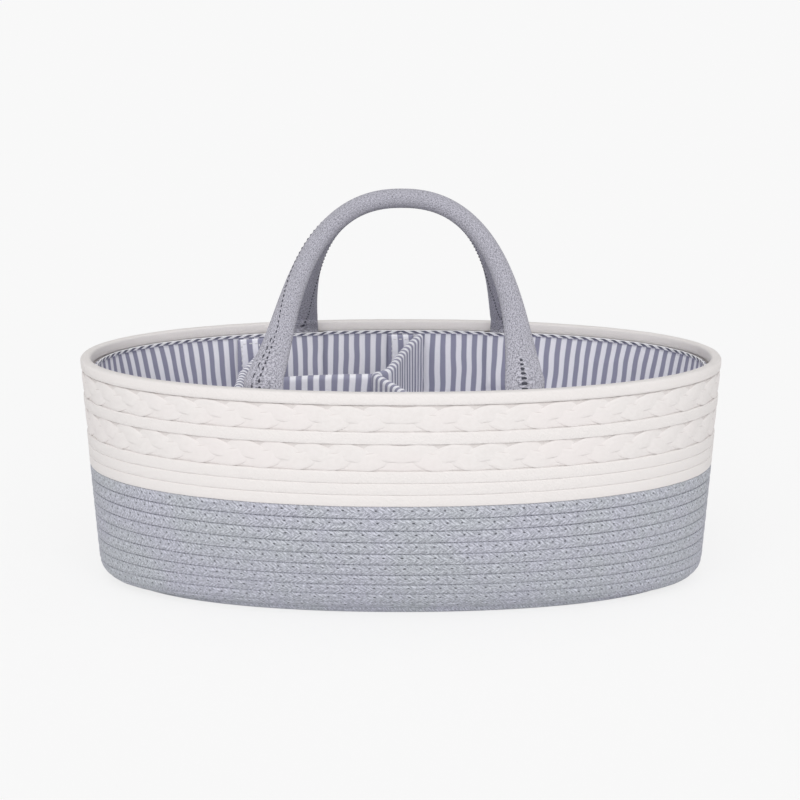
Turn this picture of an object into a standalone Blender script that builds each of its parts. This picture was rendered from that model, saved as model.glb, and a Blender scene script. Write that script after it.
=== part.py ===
"""A coiled-rope nursery caddy: an oval rope basket with a cloth lining, two arched carrying
handles and a lift-out divider insert whose ends press onto the lining with hook tape.

Run it in Blender: it clears the scene and builds one object for each sub-part.
Lengths are metres, +X is the long way of the basket, -Y its front and +Z up.
The origin lies on the floor under the middle of the basket.
"""

import functools
import math

import bpy
import bmesh
import numpy as np

# Driving dimensions of the basket, all measured over the outside of the rope
RIM_HALF_LENGTH = 0.1905
RIM_HALF_DEPTH = 0.1059
BASE_HALF_LENGTH = 0.1832
BASE_HALF_DEPTH = 0.0718
BASKET_HEIGHT = 0.1384
CORNER_RADIUS = 0.0145

# Shares that shape the oval and its sides, with no length in them
PLAN_POWER = 2.1
DEPTH_FLARE_POWER = 3.2
PLAN_CORNERS = 24

# Ropes and braids, stacked from the rim down
CREAM_ROPE_ACROSS = 0.0064
CREAM_ROW_PITCH = 0.00685
GREY_ROPE_ACROSS = 0.00655
GREY_ROW_PITCH = 0.00755
UPPER_BRAID_HEIGHT = 0.0146
LOWER_BRAID_HEIGHT = 0.0154
BRAID_THICKNESS = 0.0078
BRAID_PROUD = 0.0007
BRAID_GROOVE_DEPTH = 0.0014
CREAM_ROWS_UNDER_BRAID = 3
ROPE_END_GAP = 0.0008
LOOP_GAP_WANTED = 0.0004

# Clearances
TOUCH_GAP = 0.0003
PANEL_END_GAP = 0.0015
MESH_STEP = 0.0015

# Rope base
BASE_THICKNESS = 0.0070
BASE_EDGE_ROUND = 0.0016

# Lining
LINING_THICKNESS = 0.0014
LINING_TOP_BELOW_RIM = 0.0056
HEM_HEIGHT = 0.0022
HEM_THICKNESS = 0.0008
LINING_EASE = 0.0020

# Handles: a fabric tube over a rope core, with flat feet sewn inside the rope wall
HANDLE_TUBE_ACROSS = 0.0104
FRONT_HANDLE_HALF_SPAN = 0.0718
BACK_HANDLE_HALF_SPAN = 0.0666
HANDLE_LEG_FLARE = 0.0064
HANDLE_FLARE_FADE = 0.0250
HANDLE_ARCH_POWER = 2.29
HANDLE_TOP_HEIGHT = 0.2323
BACK_HANDLE_LOWER = 0.0027
HANDLE_TOP_APART = 0.0150
HANDLE_FABRIC = 0.0010
HANDLE_FOOT_WIDTH = 0.0218
HANDLE_FOOT_THICKNESS = 0.0030
HANDLE_FOOT_DEPTH = 0.0360
HANDLE_FOLD_ABOVE_RIM = 0.0038
HANDLE_WIDTH_FADE = 0.0335
HANDLE_THICKNESS_FADE = 0.0300
HANDLE_CORE_START = 0.0420
FRONT_HANDLE_SHIFT = -0.0037
BACK_HANDLE_SHIFT = 0.0022
HANDLE_TOP_SHIFT = 0.0005
HANDLE_SHIFT_FADE = 0.0300

# Divider insert
PANEL_THICKNESS = 0.0055
PANEL_FABRIC = 0.0009
PANEL_TOP_BELOW_RIM = 0.0110
MIDDLE_TOP_BELOW_RIM = 0.0128
RIGHT_BACK_X = 0.0130
RIGHT_MIDDLE_X = -0.0125
RIGHT_FRONT_X = 0.0180
LEFT_BACK_X = -0.0835
LEFT_MIDDLE_X = -0.0945
LEFT_FRONT_X = -0.0935

# Hook tabs and tapes
TAB_LENGTH = 0.0165
TAB_HEIGHT = 0.0530
TAB_TOP_BELOW_RIM = 0.0080
TAB_THICKNESS = 0.0016
TAB_ROOT_GAP = 0.0015
TAPE_THICKNESS = 0.0008
TAPE_MARGIN = 0.0015

# Counts and shares of the meshes
CLOTH_ROUGHNESS = 0.9
SHARP_DEGREES = 40
ROPE_BEVEL_RESOLUTION = 1
ROPE_SIDES = 4 + 2 * ROPE_BEVEL_RESOLUTION
HANDLE_SECTIONS = 24
HANDLE_SIDES = 12
WALL_STEPS = 60
CORNER_STEPS = 24
FLOOR_STEPS = 12
GAP_SAMPLES = 8
RAMP_CORNER = 6
LINING_HEIGHT_SHARES = (0.0, 0.05, 0.13, 0.24, 0.40, 0.60, 0.78)
LINING_CORNER_SHARES = (0.92, 0.62, 0.30)
PANEL_HEIGHT_SHARES = (0.0, 0.05, 0.12, 0.22, 0.38, 0.62, 1.0)
PATCH_HEIGHT_SHARES = (0.0, 0.5, 1.0)
FOLD_ROUND_SHARES = (0.95, 0.70, 0.35)
THINNEST_LINING_SHARE = 0.45
LOBE_SHARES = (0.0, 0.10, 0.26, 0.42, 0.50, 0.58, 0.74, 0.90, 1.0)

# Sizes worked out from the ones above
FLOOR_MIDDLE = GREY_ROPE_ACROSS / 2 + TOUCH_GAP
WALL_MIDDLE = GREY_ROPE_ACROSS / 2
CORNER_MIDDLE = CORNER_RADIUS - WALL_MIDDLE
WALL_BACK = max(GREY_ROPE_ACROSS, CREAM_ROPE_ACROSS, BRAID_THICKNESS - BRAID_PROUD)
LINING_OUTER = WALL_BACK + TOUCH_GAP
LINING_INNER = LINING_OUTER + LINING_THICKNESS
FOOT_OUTER = WALL_BACK + TOUCH_GAP
FOOT_INNER = FOOT_OUTER + HANDLE_FOOT_THICKNESS
LINING_TOP = BASKET_HEIGHT - LINING_TOP_BELOW_RIM
LOOP_TAPE_OUTER = LINING_INNER + TOUCH_GAP
HOOK_TAPE_OUTER = LOOP_TAPE_OUTER + TAPE_THICKNESS + TOUCH_GAP
TAB_OUTER = HOOK_TAPE_OUTER + TAPE_THICKNESS + TOUCH_GAP
TAB_INNER = TAB_OUTER + TAB_THICKNESS
PANEL_END = LINING_INNER + PANEL_END_GAP
CLOTH_FLOOR = BASE_THICKNESS + TOUCH_GAP
PANEL_BOTTOM = CLOTH_FLOOR + LINING_THICKNESS + TOUCH_GAP
FOLD_HEIGHT = BASKET_HEIGHT + HANDLE_FOLD_ABOVE_RIM

CREAM = (0.83, 0.80, 0.765)
GREY_ROPE = (0.38, 0.39, 0.47)
STRIPE_CLOTH = (0.55, 0.56, 0.58)
HEATHER = (0.37, 0.37, 0.42)
TAPE_WHITE = (0.80, 0.80, 0.79)
BOARD = (0.62, 0.58, 0.50)


def clear_scene():
    """Remove every object, so that the scene holds only the caddy."""
    for obj in list(bpy.data.objects):
        bpy.data.objects.remove(obj, do_unlink=True)


def finish(name, colour):
    """One Principled material with the part's own colour."""
    material = bpy.data.materials.new(name)
    material.use_nodes = True
    shader = material.node_tree.nodes["Principled BSDF"]
    shader.inputs["Base Color"].default_value = (*colour, 1.0)
    shader.inputs["Roughness"].default_value = CLOTH_ROUGHNESS
    shader.inputs["Metallic"].default_value = 0.0
    material.diffuse_color = (*colour, 1.0)
    return material


def add_solid(name, points, faces, colour, origin=(0.0, 0.0, 0.0)):
    """Make a closed mesh object from world points, with its origin where it turns or seats."""
    at = np.array(origin, float)
    mesh = bpy.data.meshes.new(name)
    mesh.from_pydata([tuple(np.array(p, float) - at) for p in points], [], faces)
    tidy = bmesh.new()
    tidy.from_mesh(mesh)
    bmesh.ops.recalc_face_normals(tidy, faces=tidy.faces)
    tidy.to_mesh(mesh)
    tidy.free()
    mesh.shade_smooth()
    mesh.set_sharp_from_angle(angle=math.radians(SHARP_DEGREES))
    mesh.materials.append(finish(name + "_finish", colour))
    obj = bpy.data.objects.new(name, mesh)
    obj.location = origin
    bpy.context.collection.objects.link(obj)
    return obj


def strip_faces(first, second, count):
    """Quads between two rings of points whose indices start at first and second."""
    return [
        (first + i, first + (i + 1) % count, second + (i + 1) % count, second + i)
        for i in range(count)
    ]


def hoop(name, sections, colour):
    """A closed band: the same closed section at each corner of the oval, joined all round."""
    count = len(sections[0])
    points = [p for section in sections for p in section]
    faces = []
    for k in range(len(sections)):
        faces += strip_faces(k * count, ((k + 1) % len(sections)) * count, count)
    return add_solid(name, points, faces, colour)


# The rope wall as a surface: one profile from the rim to the floor at each corner of the plan


def plan_direction(corner):
    """The unit oval's point at one corner of the plan."""
    turn = 2 * math.pi * corner / PLAN_CORNERS
    share = 2 / PLAN_POWER
    c = math.cos(turn)
    s = math.sin(turn)
    return math.copysign(abs(c) ** share, c), math.copysign(abs(s) ** share, s)


def half_sizes(height):
    """Half length and half depth of the middle of the rope wall at a height."""
    up = height / BASKET_HEIGHT
    length = BASE_HALF_LENGTH + (RIM_HALF_LENGTH - BASE_HALF_LENGTH) * up
    flare = max(1 - up, 0.0) ** DEPTH_FLARE_POWER
    depth = RIM_HALF_DEPTH - (RIM_HALF_DEPTH - BASE_HALF_DEPTH) * flare
    return length - WALL_MIDDLE, depth - WALL_MIDDLE


def profile_heights():
    """Heights from the rim to the floor, and how far the bottom corner pulls in at each."""
    corner_top = FLOOR_MIDDLE + CORNER_MIDDLE
    rows = []
    for k in range(WALL_STEPS):
        rows.append((BASKET_HEIGHT + (corner_top - BASKET_HEIGHT) * k / WALL_STEPS, 0.0))
    for k in range(CORNER_STEPS + 1):
        turn = math.pi / 2 * k / CORNER_STEPS
        rows.append(
            (corner_top - CORNER_MIDDLE * math.sin(turn), CORNER_MIDDLE * (1 - math.cos(turn)))
        )
    for k in range(1, FLOOR_STEPS + 1):
        rows.append((FLOOR_MIDDLE, CORNER_MIDDLE * (1 + k / FLOOR_STEPS)))
    return rows


@functools.lru_cache(maxsize=None)
def profile(corner):
    """Points, outward normals and run-down length of the wall's middle at one plan corner."""
    c, s = plan_direction(corner)
    points = []
    level = []
    for height, pull in profile_heights():
        length, depth = half_sizes(height)
        slope = (
            math.copysign(abs(c) ** (PLAN_POWER - 1), c) / length,
            math.copysign(abs(s) ** (PLAN_POWER - 1), s) / depth,
        )
        size = math.hypot(*slope)
        out = (slope[0] / size, slope[1] / size)
        points.append((length * c - pull * out[0], depth * s - pull * out[1], height))
        level.append(out)
    points = np.array(points)
    level = np.array(level)
    steps = np.linalg.norm(np.diff(points, axis=0), axis=1)
    run = np.concatenate([[0.0], np.cumsum(steps)])
    along = np.gradient(points, run, axis=0)
    along /= np.linalg.norm(along, axis=1)[:, None]
    lean = (level * along[:, :2]).sum(axis=1)
    normals = np.column_stack([level * -along[:, 2:3], lean])
    normals /= np.linalg.norm(normals, axis=1)[:, None]
    return points, normals, run


def wall_at(corner, down, inset):
    """The point a length down the wall from the rim, at an inset from the rope's outside."""
    points, normals, run = profile(corner % PLAN_CORNERS)
    point = np.array([np.interp(down, run, points[:, k]) for k in range(3)])
    normal = np.array([np.interp(down, run, normals[:, k]) for k in range(3)])
    normal /= np.linalg.norm(normal)
    return point + normal * (WALL_MIDDLE - inset)


@functools.lru_cache(maxsize=None)
def ring_at(inset, height):
    """The oval at one height and inset, as one point for each plan corner."""
    ring = []
    last = WALL_STEPS + CORNER_STEPS + 1
    for corner in range(PLAN_CORNERS):
        points, normals, _ = profile(corner)
        shifted = (points + normals * (WALL_MIDDLE - inset))[:last][::-1]
        x = np.interp(height, shifted[:, 2], shifted[:, 0])
        y = np.interp(height, shifted[:, 2], shifted[:, 1])
        ring.append((x, y, height))
    return ring


def corner_ring(inset, share):
    """The oval part of the way round the bottom corner, from 0 at its top to 1 at the floor."""
    ring = []
    for corner in range(PLAN_CORNERS):
        points, normals, _ = profile(corner)
        row = WALL_STEPS + share * CORNER_STEPS
        low = int(row)
        mix = row - low
        at = points[low] * (1 - mix) + points[low + 1] * mix
        normal = normals[low] * (1 - mix) + normals[low + 1] * mix
        ring.append(tuple(at + normal * (WALL_MIDDLE - inset)))
    return ring


def wall_y(x, side, inset, height):
    """How far back (side 1) or forward (side -1) the wall stands at x."""
    half = sorted(p for p in ring_at(inset, height) if p[1] * side > 0)
    return float(np.interp(x, [p[0] for p in half], [p[1] for p in half]))


def wall_stations(x_from, x_to, side):
    """Places across a stretch of wall: its two ends, and any plan corner between them."""
    low, high = sorted((x_from, x_to))
    between = [
        corner
        for corner, p in enumerate(ring_at(LINING_OUTER, LINING_TOP))
        if p[1] * side > 0 and low + MESH_STEP < p[0] < high - MESH_STEP
    ]
    between.sort(key=lambda corner: ring_at(LINING_OUTER, LINING_TOP)[corner][0])
    return [("x", low)] + [("corner", corner) for corner in between] + [("x", high)]


def station_point(station, side, inset, height):
    """The wall point at one of those places."""
    kind, value = station
    if kind == "corner":
        return ring_at(inset, height)[value]
    return value, wall_y(value, side, inset, height), height


def wall_patch(name, x_from, x_to, side, heights, insets, colour, origin=(0.0, 0.0, 0.0)):
    """A thin closed patch that follows the wall, from the outer to the inner inset."""
    stations = wall_stations(x_from, x_to, side)
    grid = [
        [[station_point(s, side, inset, height) for s in stations] for height in heights]
        for inset in insets
    ]
    return slab(name, grid[0], grid[1], colour, origin)


def slab(name, outer, inner, colour, origin=(0.0, 0.0, 0.0)):
    """A closed slab between two grids of points with the same rows and columns."""
    rows = len(outer)
    columns = len(outer[0])
    points = [p for row in outer for p in row] + [p for row in inner for p in row]
    shift = rows * columns
    faces = []
    for r in range(rows - 1):
        for c in range(columns - 1):
            a = r * columns + c
            faces.append((a, a + 1, a + columns + 1, a + columns))
            faces.append((shift + a, shift + a + columns, shift + a + columns + 1, shift + a + 1))
    edge = list(range(columns))
    edge += [r * columns + columns - 1 for r in range(1, rows)]
    edge += [(rows - 1) * columns + c for c in range(columns - 2, -1, -1)]
    edge += [r * columns for r in range(rows - 2, 0, -1)]
    for k in range(len(edge)):
        a = edge[k]
        b = edge[(k + 1) % len(edge)]
        faces.append((b, a, shift + a, shift + b))
    return add_solid(name, points, faces, colour, origin)


# Ropes and braids


def least_gap(points, across):
    """The least gap between a rope's own turns, measured on points along its middle."""
    path = np.array(points)
    fine = [path[:-1] + (path[1:] - path[:-1]) * k / GAP_SAMPLES for k in range(GAP_SAMPLES)]
    order = np.arange(len(path) - 1)
    half_turn = PLAN_CORNERS // 2
    least = math.inf
    for a in fine:
        for b in fine:
            apart = np.linalg.norm(a[:, None] - b[None], axis=2)
            apart[np.abs(order[:, None] - order[None]) < half_turn] = math.inf
            least = min(least, float(apart.min()))
    return least - across


def rope(name, points, across, colour):
    """One unbroken tube with filled ends along a list of points."""
    curve = bpy.data.curves.new(name, "CURVE")
    curve.dimensions = "3D"
    curve.twist_mode = "Z_UP"
    curve.bevel_depth = across / 2
    curve.bevel_resolution = ROPE_BEVEL_RESOLUTION
    curve.use_fill_caps = True
    spline = curve.splines.new("POLY")
    spline.points.add(len(points) - 1)
    for place, point in zip(spline.points, points):
        place.co = (*point, 1.0)
        place.tilt = math.pi / ROPE_SIDES
    curve.materials.append(finish(name + "_finish", colour))
    obj = bpy.data.objects.new(name, curve)
    bpy.context.collection.objects.link(obj)
    if len(points) > PLAN_CORNERS + 1:
        gap = least_gap(points, across) * 1000
        print(f"{name}: least gap {gap:.2f} mm, wanted {LOOP_GAP_WANTED * 1000:.2f} mm")
    return obj


def winding_points(first_down, pitch, loops, across):
    """Level loops from the lowest up, each climbing one row along the same stretch at the back."""
    points = []
    for loop in range(loops):
        down = first_down - loop * pitch
        for k in range(PLAN_CORNERS):
            points.append(wall_at(RAMP_CORNER + 1 + k, down, across / 2))
    return points


def shortened(points, length):
    """The same path with its last stretch cut short by a length."""
    last = np.array(points[-1])
    before = np.array(points[-2])
    run = np.linalg.norm(last - before)
    return points[:-1] + [last + (before - last) * length / run]


def single_row(down, across):
    """One turn of rope whose two ends meet at the back."""
    points = [wall_at(RAMP_CORNER + k, down, across / 2) for k in range(PLAN_CORNERS + 1)]
    return shortened(points, ROPE_END_GAP)


def braid(name, top_down, height):
    """A plaited band, kept as its outer form: two rows of lobes with a groove between."""
    top = top_down + TOUCH_GAP
    bottom = top_down + height - TOUCH_GAP
    tall = bottom - top
    lobe = (BRAID_GROOVE_DEPTH, 0.0, -BRAID_PROUD, 0.0)
    insets = lobe + lobe + lobe[:1]
    back = BRAID_THICKNESS - BRAID_PROUD
    section = [(top + tall * share, inset) for share, inset in zip(LOBE_SHARES, insets)]
    section += [(bottom, back), (top, back)]
    sections = [
        [wall_at(corner, down, inset) for down, inset in section]
        for corner in range(PLAN_CORNERS)
    ]
    return hoop(name, sections, CREAM)


def grey_loop_count(top_down):
    """As many grey loops as reach from the boundary to the floor at the basket's ends."""
    _, _, run = profile(0)
    wall_run = float(run[WALL_STEPS + CORNER_STEPS]) - top_down
    return max(math.ceil(wall_run / GREY_ROW_PITCH + 1 / 2), 2)


def rope_wall():
    """Every rope and braid of the wall. Returns the lowest loop's distance from the rim."""
    rim = single_row(CREAM_ROPE_ACROSS / 2, CREAM_ROPE_ACROSS)
    rope("rim_rope", rim, CREAM_ROPE_ACROSS, CREAM)
    down = CREAM_ROW_PITCH
    braid("upper_braid", down, UPPER_BRAID_HEIGHT)
    down += UPPER_BRAID_HEIGHT
    middle = single_row(down + CREAM_ROW_PITCH / 2, CREAM_ROPE_ACROSS)
    rope("cream_middle_rope", middle, CREAM_ROPE_ACROSS, CREAM)
    down += CREAM_ROW_PITCH
    braid("lower_braid", down, LOWER_BRAID_HEIGHT)
    down += LOWER_BRAID_HEIGHT
    grey_top = down + CREAM_ROW_PITCH * CREAM_ROWS_UNDER_BRAID

    lowest_cream = grey_top - CREAM_ROW_PITCH / 2
    rows = CREAM_ROWS_UNDER_BRAID
    cream = winding_points(lowest_cream, CREAM_ROW_PITCH, rows, CREAM_ROPE_ACROSS)
    first_grey = grey_top + GREY_ROW_PITCH / 2
    start = wall_at(RAMP_CORNER, first_grey, CREAM_ROPE_ACROSS / 2)
    start = start + (cream[0] - start) * (ROPE_END_GAP / np.linalg.norm(cream[0] - start))
    rope("cream_lower_rope", [start] + cream, CREAM_ROPE_ACROSS, CREAM)

    loops = grey_loop_count(grey_top)
    lowest_grey = first_grey + GREY_ROW_PITCH * (loops - 1)
    grey = winding_points(lowest_grey, GREY_ROW_PITCH, loops, GREY_ROPE_ACROSS)
    rope("grey_wall_rope", grey, GREY_ROPE_ACROSS, GREY_ROPE)
    return lowest_grey


def rope_base(lowest_grey):
    """The flat rope base, inside the lowest grey loop."""
    inset = GREY_ROPE_ACROSS / 2 + TOUCH_GAP * 2
    outline = []
    for corner in range(PLAN_CORNERS):
        middle = wall_at(corner, lowest_grey, WALL_MIDDLE)
        _, normals, _ = profile(corner)
        out = normals[0][:2] / np.linalg.norm(normals[0][:2])
        outline.append((middle[0] - out[0] * inset, middle[1] - out[1] * inset, out))
    rounds = (
        (BASE_EDGE_ROUND, 0.0),
        (0.0, BASE_EDGE_ROUND),
        (0.0, BASE_THICKNESS - BASE_EDGE_ROUND),
        (BASE_EDGE_ROUND, BASE_THICKNESS),
    )
    points = []
    faces = []
    for inward, height in rounds:
        points += [(x - out[0] * inward, y - out[1] * inward, height) for x, y, out in outline]
    for k in range(len(rounds) - 1):
        faces += strip_faces(k * PLAN_CORNERS, (k + 1) * PLAN_CORNERS, PLAN_CORNERS)
    last = (len(rounds) - 1) * PLAN_CORNERS
    faces.append(tuple(range(PLAN_CORNERS))[::-1])
    faces.append(tuple(last + k for k in range(PLAN_CORNERS)))
    return add_solid("base_coil", points, faces, GREY_ROPE)


# Handle feet and lining


def handle_places():
    """Both handles: place, side of the basket, half span, shift at the feet and top height."""
    back_top = HANDLE_TOP_HEIGHT - BACK_HANDLE_LOWER
    return (
        ("front", -1, FRONT_HANDLE_HALF_SPAN, FRONT_HANDLE_SHIFT, HANDLE_TOP_HEIGHT),
        ("back", 1, BACK_HANDLE_HALF_SPAN, BACK_HANDLE_SHIFT, back_top),
    )


def handle_foot_spans():
    """The four feet: name, side, and the x of their left and right edges."""
    spans = []
    for place, side, half_span, shift, _ in handle_places():
        for hand, sign in (("left", -1), ("right", 1)):
            middle = shift + sign * half_span
            low = middle - HANDLE_FOOT_WIDTH / 2
            spans.append((f"{place}_{hand}_handle_foot", side, low, low + HANDLE_FOOT_WIDTH))
    return spans


def fold_y(side):
    """How far forward or back a handle's fold line lies: clear of the rim at all four feet."""
    inset = (FOOT_OUTER + FOOT_INNER) / 2
    reach = [
        abs(wall_y(x, s, inset, BASKET_HEIGHT))
        for _, s, low, high in handle_foot_spans()
        for x in (low, high)
    ]
    return side * min(reach)


def lining_stations():
    """Plan corners and foot edges round the oval, each with a share of the bulge over a foot."""
    rim = ring_at(LINING_OUTER, LINING_TOP)
    edges = []
    for _, side, low, high in handle_foot_spans():
        for x, bulge in (
            (low - LINING_EASE * 2, 0.0),
            (low - LINING_EASE, 1.0),
            (high + LINING_EASE, 1.0),
            (high + LINING_EASE * 2, 0.0),
        ):
            edges.append((math.atan2(wall_y(x, side, LINING_OUTER, LINING_TOP), x), side, x, bulge))
    stations = [
        (math.atan2(p[1], p[0]), ("corner", k), 1 if p[1] > 0 else -1, corner_bulge(p))
        for k, p in enumerate(rim)
    ]
    stations += [(turn, ("x", x), side, bulge) for turn, side, x, bulge in edges]
    stations.sort(key=lambda station: station[0])
    return [station[1:] for station in stations]


def corner_bulge(point):
    """Whether a plan corner lies behind a foot, where the lining stands in."""
    for _, side, low, high in handle_foot_spans():
        if point[1] * side > 0 and low - LINING_EASE < point[0] < high + LINING_EASE:
            return 1.0
    return 0.0


def lining_side():
    """The cloth wall: it hugs the rope, stands in over the feet and turns in at the floor."""
    foot_low = BASKET_HEIGHT - HANDLE_FOOT_DEPTH - LINING_TOP_BELOW_RIM
    corner_top = FLOOR_MIDDLE + CORNER_MIDDLE
    over_feet = foot_low - LINING_EASE
    plain = [corner_top + (over_feet - corner_top) * share for share in LINING_HEIGHT_SHARES]
    upper = [over_feet, (over_feet + LINING_TOP) / 2, LINING_TOP]
    heights = plain + [over_feet - LINING_EASE] + upper
    sections = []
    for station, side, bulge in lining_stations():
        chains = []
        for inset in (LINING_OUTER, LINING_INNER):
            chain = [
                corner_station(station, side, inset, share) for share in LINING_CORNER_SHARES
            ]
            for height in heights:
                stand = bulge * HANDLE_FOOT_THICKNESS if height >= over_feet else 0.0
                stand += bulge * TOUCH_GAP if height >= over_feet else 0.0
                chain.append(station_point(station, side, inset + stand, height))
            chains.append(chain)
        sections.append(chains[0] + chains[1][::-1])
    return hoop("lining_side", sections, STRIPE_CLOTH)


def corner_station(station, side, inset, share):
    """A lining station's point part of the way round the bottom corner."""
    kind, value = station
    ring = corner_ring(inset, share)
    if kind == "corner":
        return ring[value]
    half = sorted(p for p in ring if p[1] * side > 0)
    xs = [p[0] for p in half]
    return (
        value,
        float(np.interp(value, xs, [p[1] for p in half])),
        float(np.interp(value, xs, [p[2] for p in half])),
    )


def lining_hem():
    """The turned-down top edge of the lining, a thin band on its inner face."""
    sections = []
    for station, side, bulge in lining_stations():
        stand = bulge * (HANDLE_FOOT_THICKNESS + TOUCH_GAP)
        outer = LINING_INNER + TOUCH_GAP + stand
        inner = outer + HEM_THICKNESS
        low = LINING_TOP - HEM_HEIGHT
        sections.append(
            [
                station_point(station, side, outer, LINING_TOP),
                station_point(station, side, outer, low),
                station_point(station, side, inner, low),
                station_point(station, side, inner, LINING_TOP),
            ]
        )
    return hoop("lining_hem", sections, STRIPE_CLOTH)


def lining_base():
    """The cloth floor, lying on the rope base inside the side cloth."""
    points = []
    faces = []
    for height in (CLOTH_FLOOR, CLOTH_FLOOR + LINING_THICKNESS):
        for corner in range(PLAN_CORNERS):
            at = corner_ring(LINING_OUTER, 1.0 - TOUCH_GAP / CORNER_MIDDLE)[corner]
            _, normals, _ = profile(corner)
            out = normals[0][:2] / np.linalg.norm(normals[0][:2])
            points.append((at[0] - out[0] * TOUCH_GAP, at[1] - out[1] * TOUCH_GAP, height))
    faces += strip_faces(0, PLAN_CORNERS, PLAN_CORNERS)
    faces.append(tuple(range(PLAN_CORNERS))[::-1])
    faces.append(tuple(PLAN_CORNERS + k for k in range(PLAN_CORNERS)))
    return add_solid("lining_base", points, faces, STRIPE_CLOTH)


def handle_feet():
    """Four flat feet: each follows the wall inside the rope, then turns to the fold line."""
    top = FOLD_HEIGHT - HANDLE_FOOT_THICKNESS / 2 - TOUCH_GAP
    hidden = LINING_TOP + TOUCH_GAP * 2
    low = hidden - HANDLE_FOOT_DEPTH
    for name, side, left, right in handle_foot_spans():
        stations = wall_stations(left, right, side)
        grids = []
        for inset, step in ((FOOT_OUTER, 1), (FOOT_INNER, -1)):
            rows = [
                [station_point(s, side, inset, height) for s in stations]
                for height in (low, (low + hidden) / 2, hidden)
            ]
            line = fold_y(side) + side * step * HANDLE_FOOT_THICKNESS / 2
            rows.append([(p[0], line, top) for p in rows[-1]])
            grids.append(rows)
        slab(name, grids[0], grids[1], HEATHER)


# Handles


def fade(height, reach):
    """A smooth fall from 1 at the fold to 0 well up the leg."""
    return math.exp(-max(height, 0.0) / reach)


def handle_section(height):
    """Half width and half thickness of the fabric tube at a height above the fold."""
    widen = (HANDLE_FOOT_WIDTH - HANDLE_TUBE_ACROSS) * fade(height, HANDLE_WIDTH_FADE)
    flatten = (HANDLE_TUBE_ACROSS - HANDLE_FOOT_THICKNESS) * fade(height, HANDLE_THICKNESS_FADE)
    return (HANDLE_TUBE_ACROSS + widen) / 2, (HANDLE_TUBE_ACROSS - flatten) / 2


def handle_line(turn, half_span, shift, rise):
    """The middle line of a handle: its legs lean in, and drift to the side, above the feet."""
    bend = 2 / HANDLE_ARCH_POWER
    up = rise * math.sin(turn) ** bend if 0 < turn < math.pi else 0.0
    level = math.copysign(abs(math.cos(turn)) ** bend, math.cos(turn))
    span = half_span - HANDLE_LEG_FLARE * (1 - fade(up, HANDLE_FLARE_FADE))
    drift = HANDLE_TOP_SHIFT + (shift - HANDLE_TOP_SHIFT) * fade(up, HANDLE_SHIFT_FADE)
    return drift + span * level, up


def handle_stations(half_span, shift, rise):
    """Along one handle: x, up, tangent, half width and half thickness at each section."""
    line = [
        handle_line(math.pi * k / HANDLE_SECTIONS, half_span, shift, rise)
        for k in range(HANDLE_SECTIONS + 1)
    ]
    rows = []
    for k, (x, up) in enumerate(line):
        tangent = (0.0, 1.0 if k == 0 else -1.0)
        if 0 < k < HANDLE_SECTIONS:
            tangent = (line[k + 1][0] - line[k - 1][0], line[k + 1][1] - line[k - 1][1])
        size = math.hypot(*tangent)
        wide, thick = handle_section(up)
        rows.append((x, up, tangent[0] / size, tangent[1] / size, wide, thick))
    wide, thick = handle_section(0.0)
    rounding = []
    for share in FOLD_ROUND_SHARES:
        drop = thick * math.sqrt(1 - share * share)
        rounding.append((drop, wide, thick * share))
    before = [(shift + half_span, -drop, 0.0, 1.0, w, t) for drop, w, t in rounding[::-1]]
    after = [(shift - half_span, -drop, 0.0, -1.0, w, t) for drop, w, t in rounding]
    return before + rows + after


def handle_ring(row, frame, shrink):
    """One section of a handle as points in space, drawn in by a fabric thickness."""
    middle, up, t_across, t_up, wide, thick = row
    fold, rise_way, out_way = frame
    wide = wide - shrink
    thick = max(thick - shrink, thick * THINNEST_LINING_SHARE) if shrink else thick
    ring = []
    for k in range(HANDLE_SIDES):
        turn = 2 * math.pi * (k + 0.5) / HANDLE_SIDES
        w = wide * math.cos(turn)
        n = thick * math.sin(turn)
        x = middle - t_up * w
        lift = up + t_across * w
        ring.append(
            (
                x,
                fold[0] + rise_way[0] * lift + out_way[0] * n,
                fold[1] + rise_way[1] * lift + out_way[1] * n,
            )
        )
    return ring


def handle(place, side, half_span, shift, top_height):
    """One handle at rest: its fabric tube and the rope core inside, leaning in to the middle."""
    fold = (fold_y(side), FOLD_HEIGHT)
    top = (side * HANDLE_TOP_APART / 2, top_height)
    rise = math.hypot(top[0] - fold[0], top[1] - fold[1])
    rise_way = ((top[0] - fold[0]) / rise, (top[1] - fold[1]) / rise)
    out_way = (-rise_way[1], rise_way[0])
    frame = (fold, rise_way, out_way)
    origin = (shift, fold[0], fold[1])
    rows = handle_stations(half_span, shift, rise)

    outer = [handle_ring(row, frame, 0.0) for row in rows]
    inner = [handle_ring(row, frame, HANDLE_FABRIC) for row in rows]
    points = [p for ring in outer + inner for p in ring]
    count = HANDLE_SIDES
    shift_in = len(outer) * count
    faces = []
    for k in range(len(outer) - 1):
        faces += strip_faces(k * count, (k + 1) * count, count)
        faces += strip_faces(shift_in + (k + 1) * count, shift_in + k * count, count)
    last = (len(outer) - 1) * count
    faces += strip_faces(shift_in, 0, count)
    faces += strip_faces(last, shift_in + last, count)
    add_solid(f"{place}_handle_cover", points, faces, HEATHER, origin)

    inside = [row for row in rows if row[1] >= HANDLE_CORE_START]
    core = [handle_ring(row, frame, HANDLE_FABRIC + TOUCH_GAP) for row in inside]
    points = [p for ring in core for p in ring]
    faces = []
    for k in range(len(core) - 1):
        faces += strip_faces(k * count, (k + 1) * count, count)
    last = (len(core) - 1) * count
    faces.append(tuple(range(count))[::-1])
    faces.append(tuple(last + k for k in range(count)))
    add_solid(f"{place}_handle_core", points, faces, CREAM, origin)


# Divider insert


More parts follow.
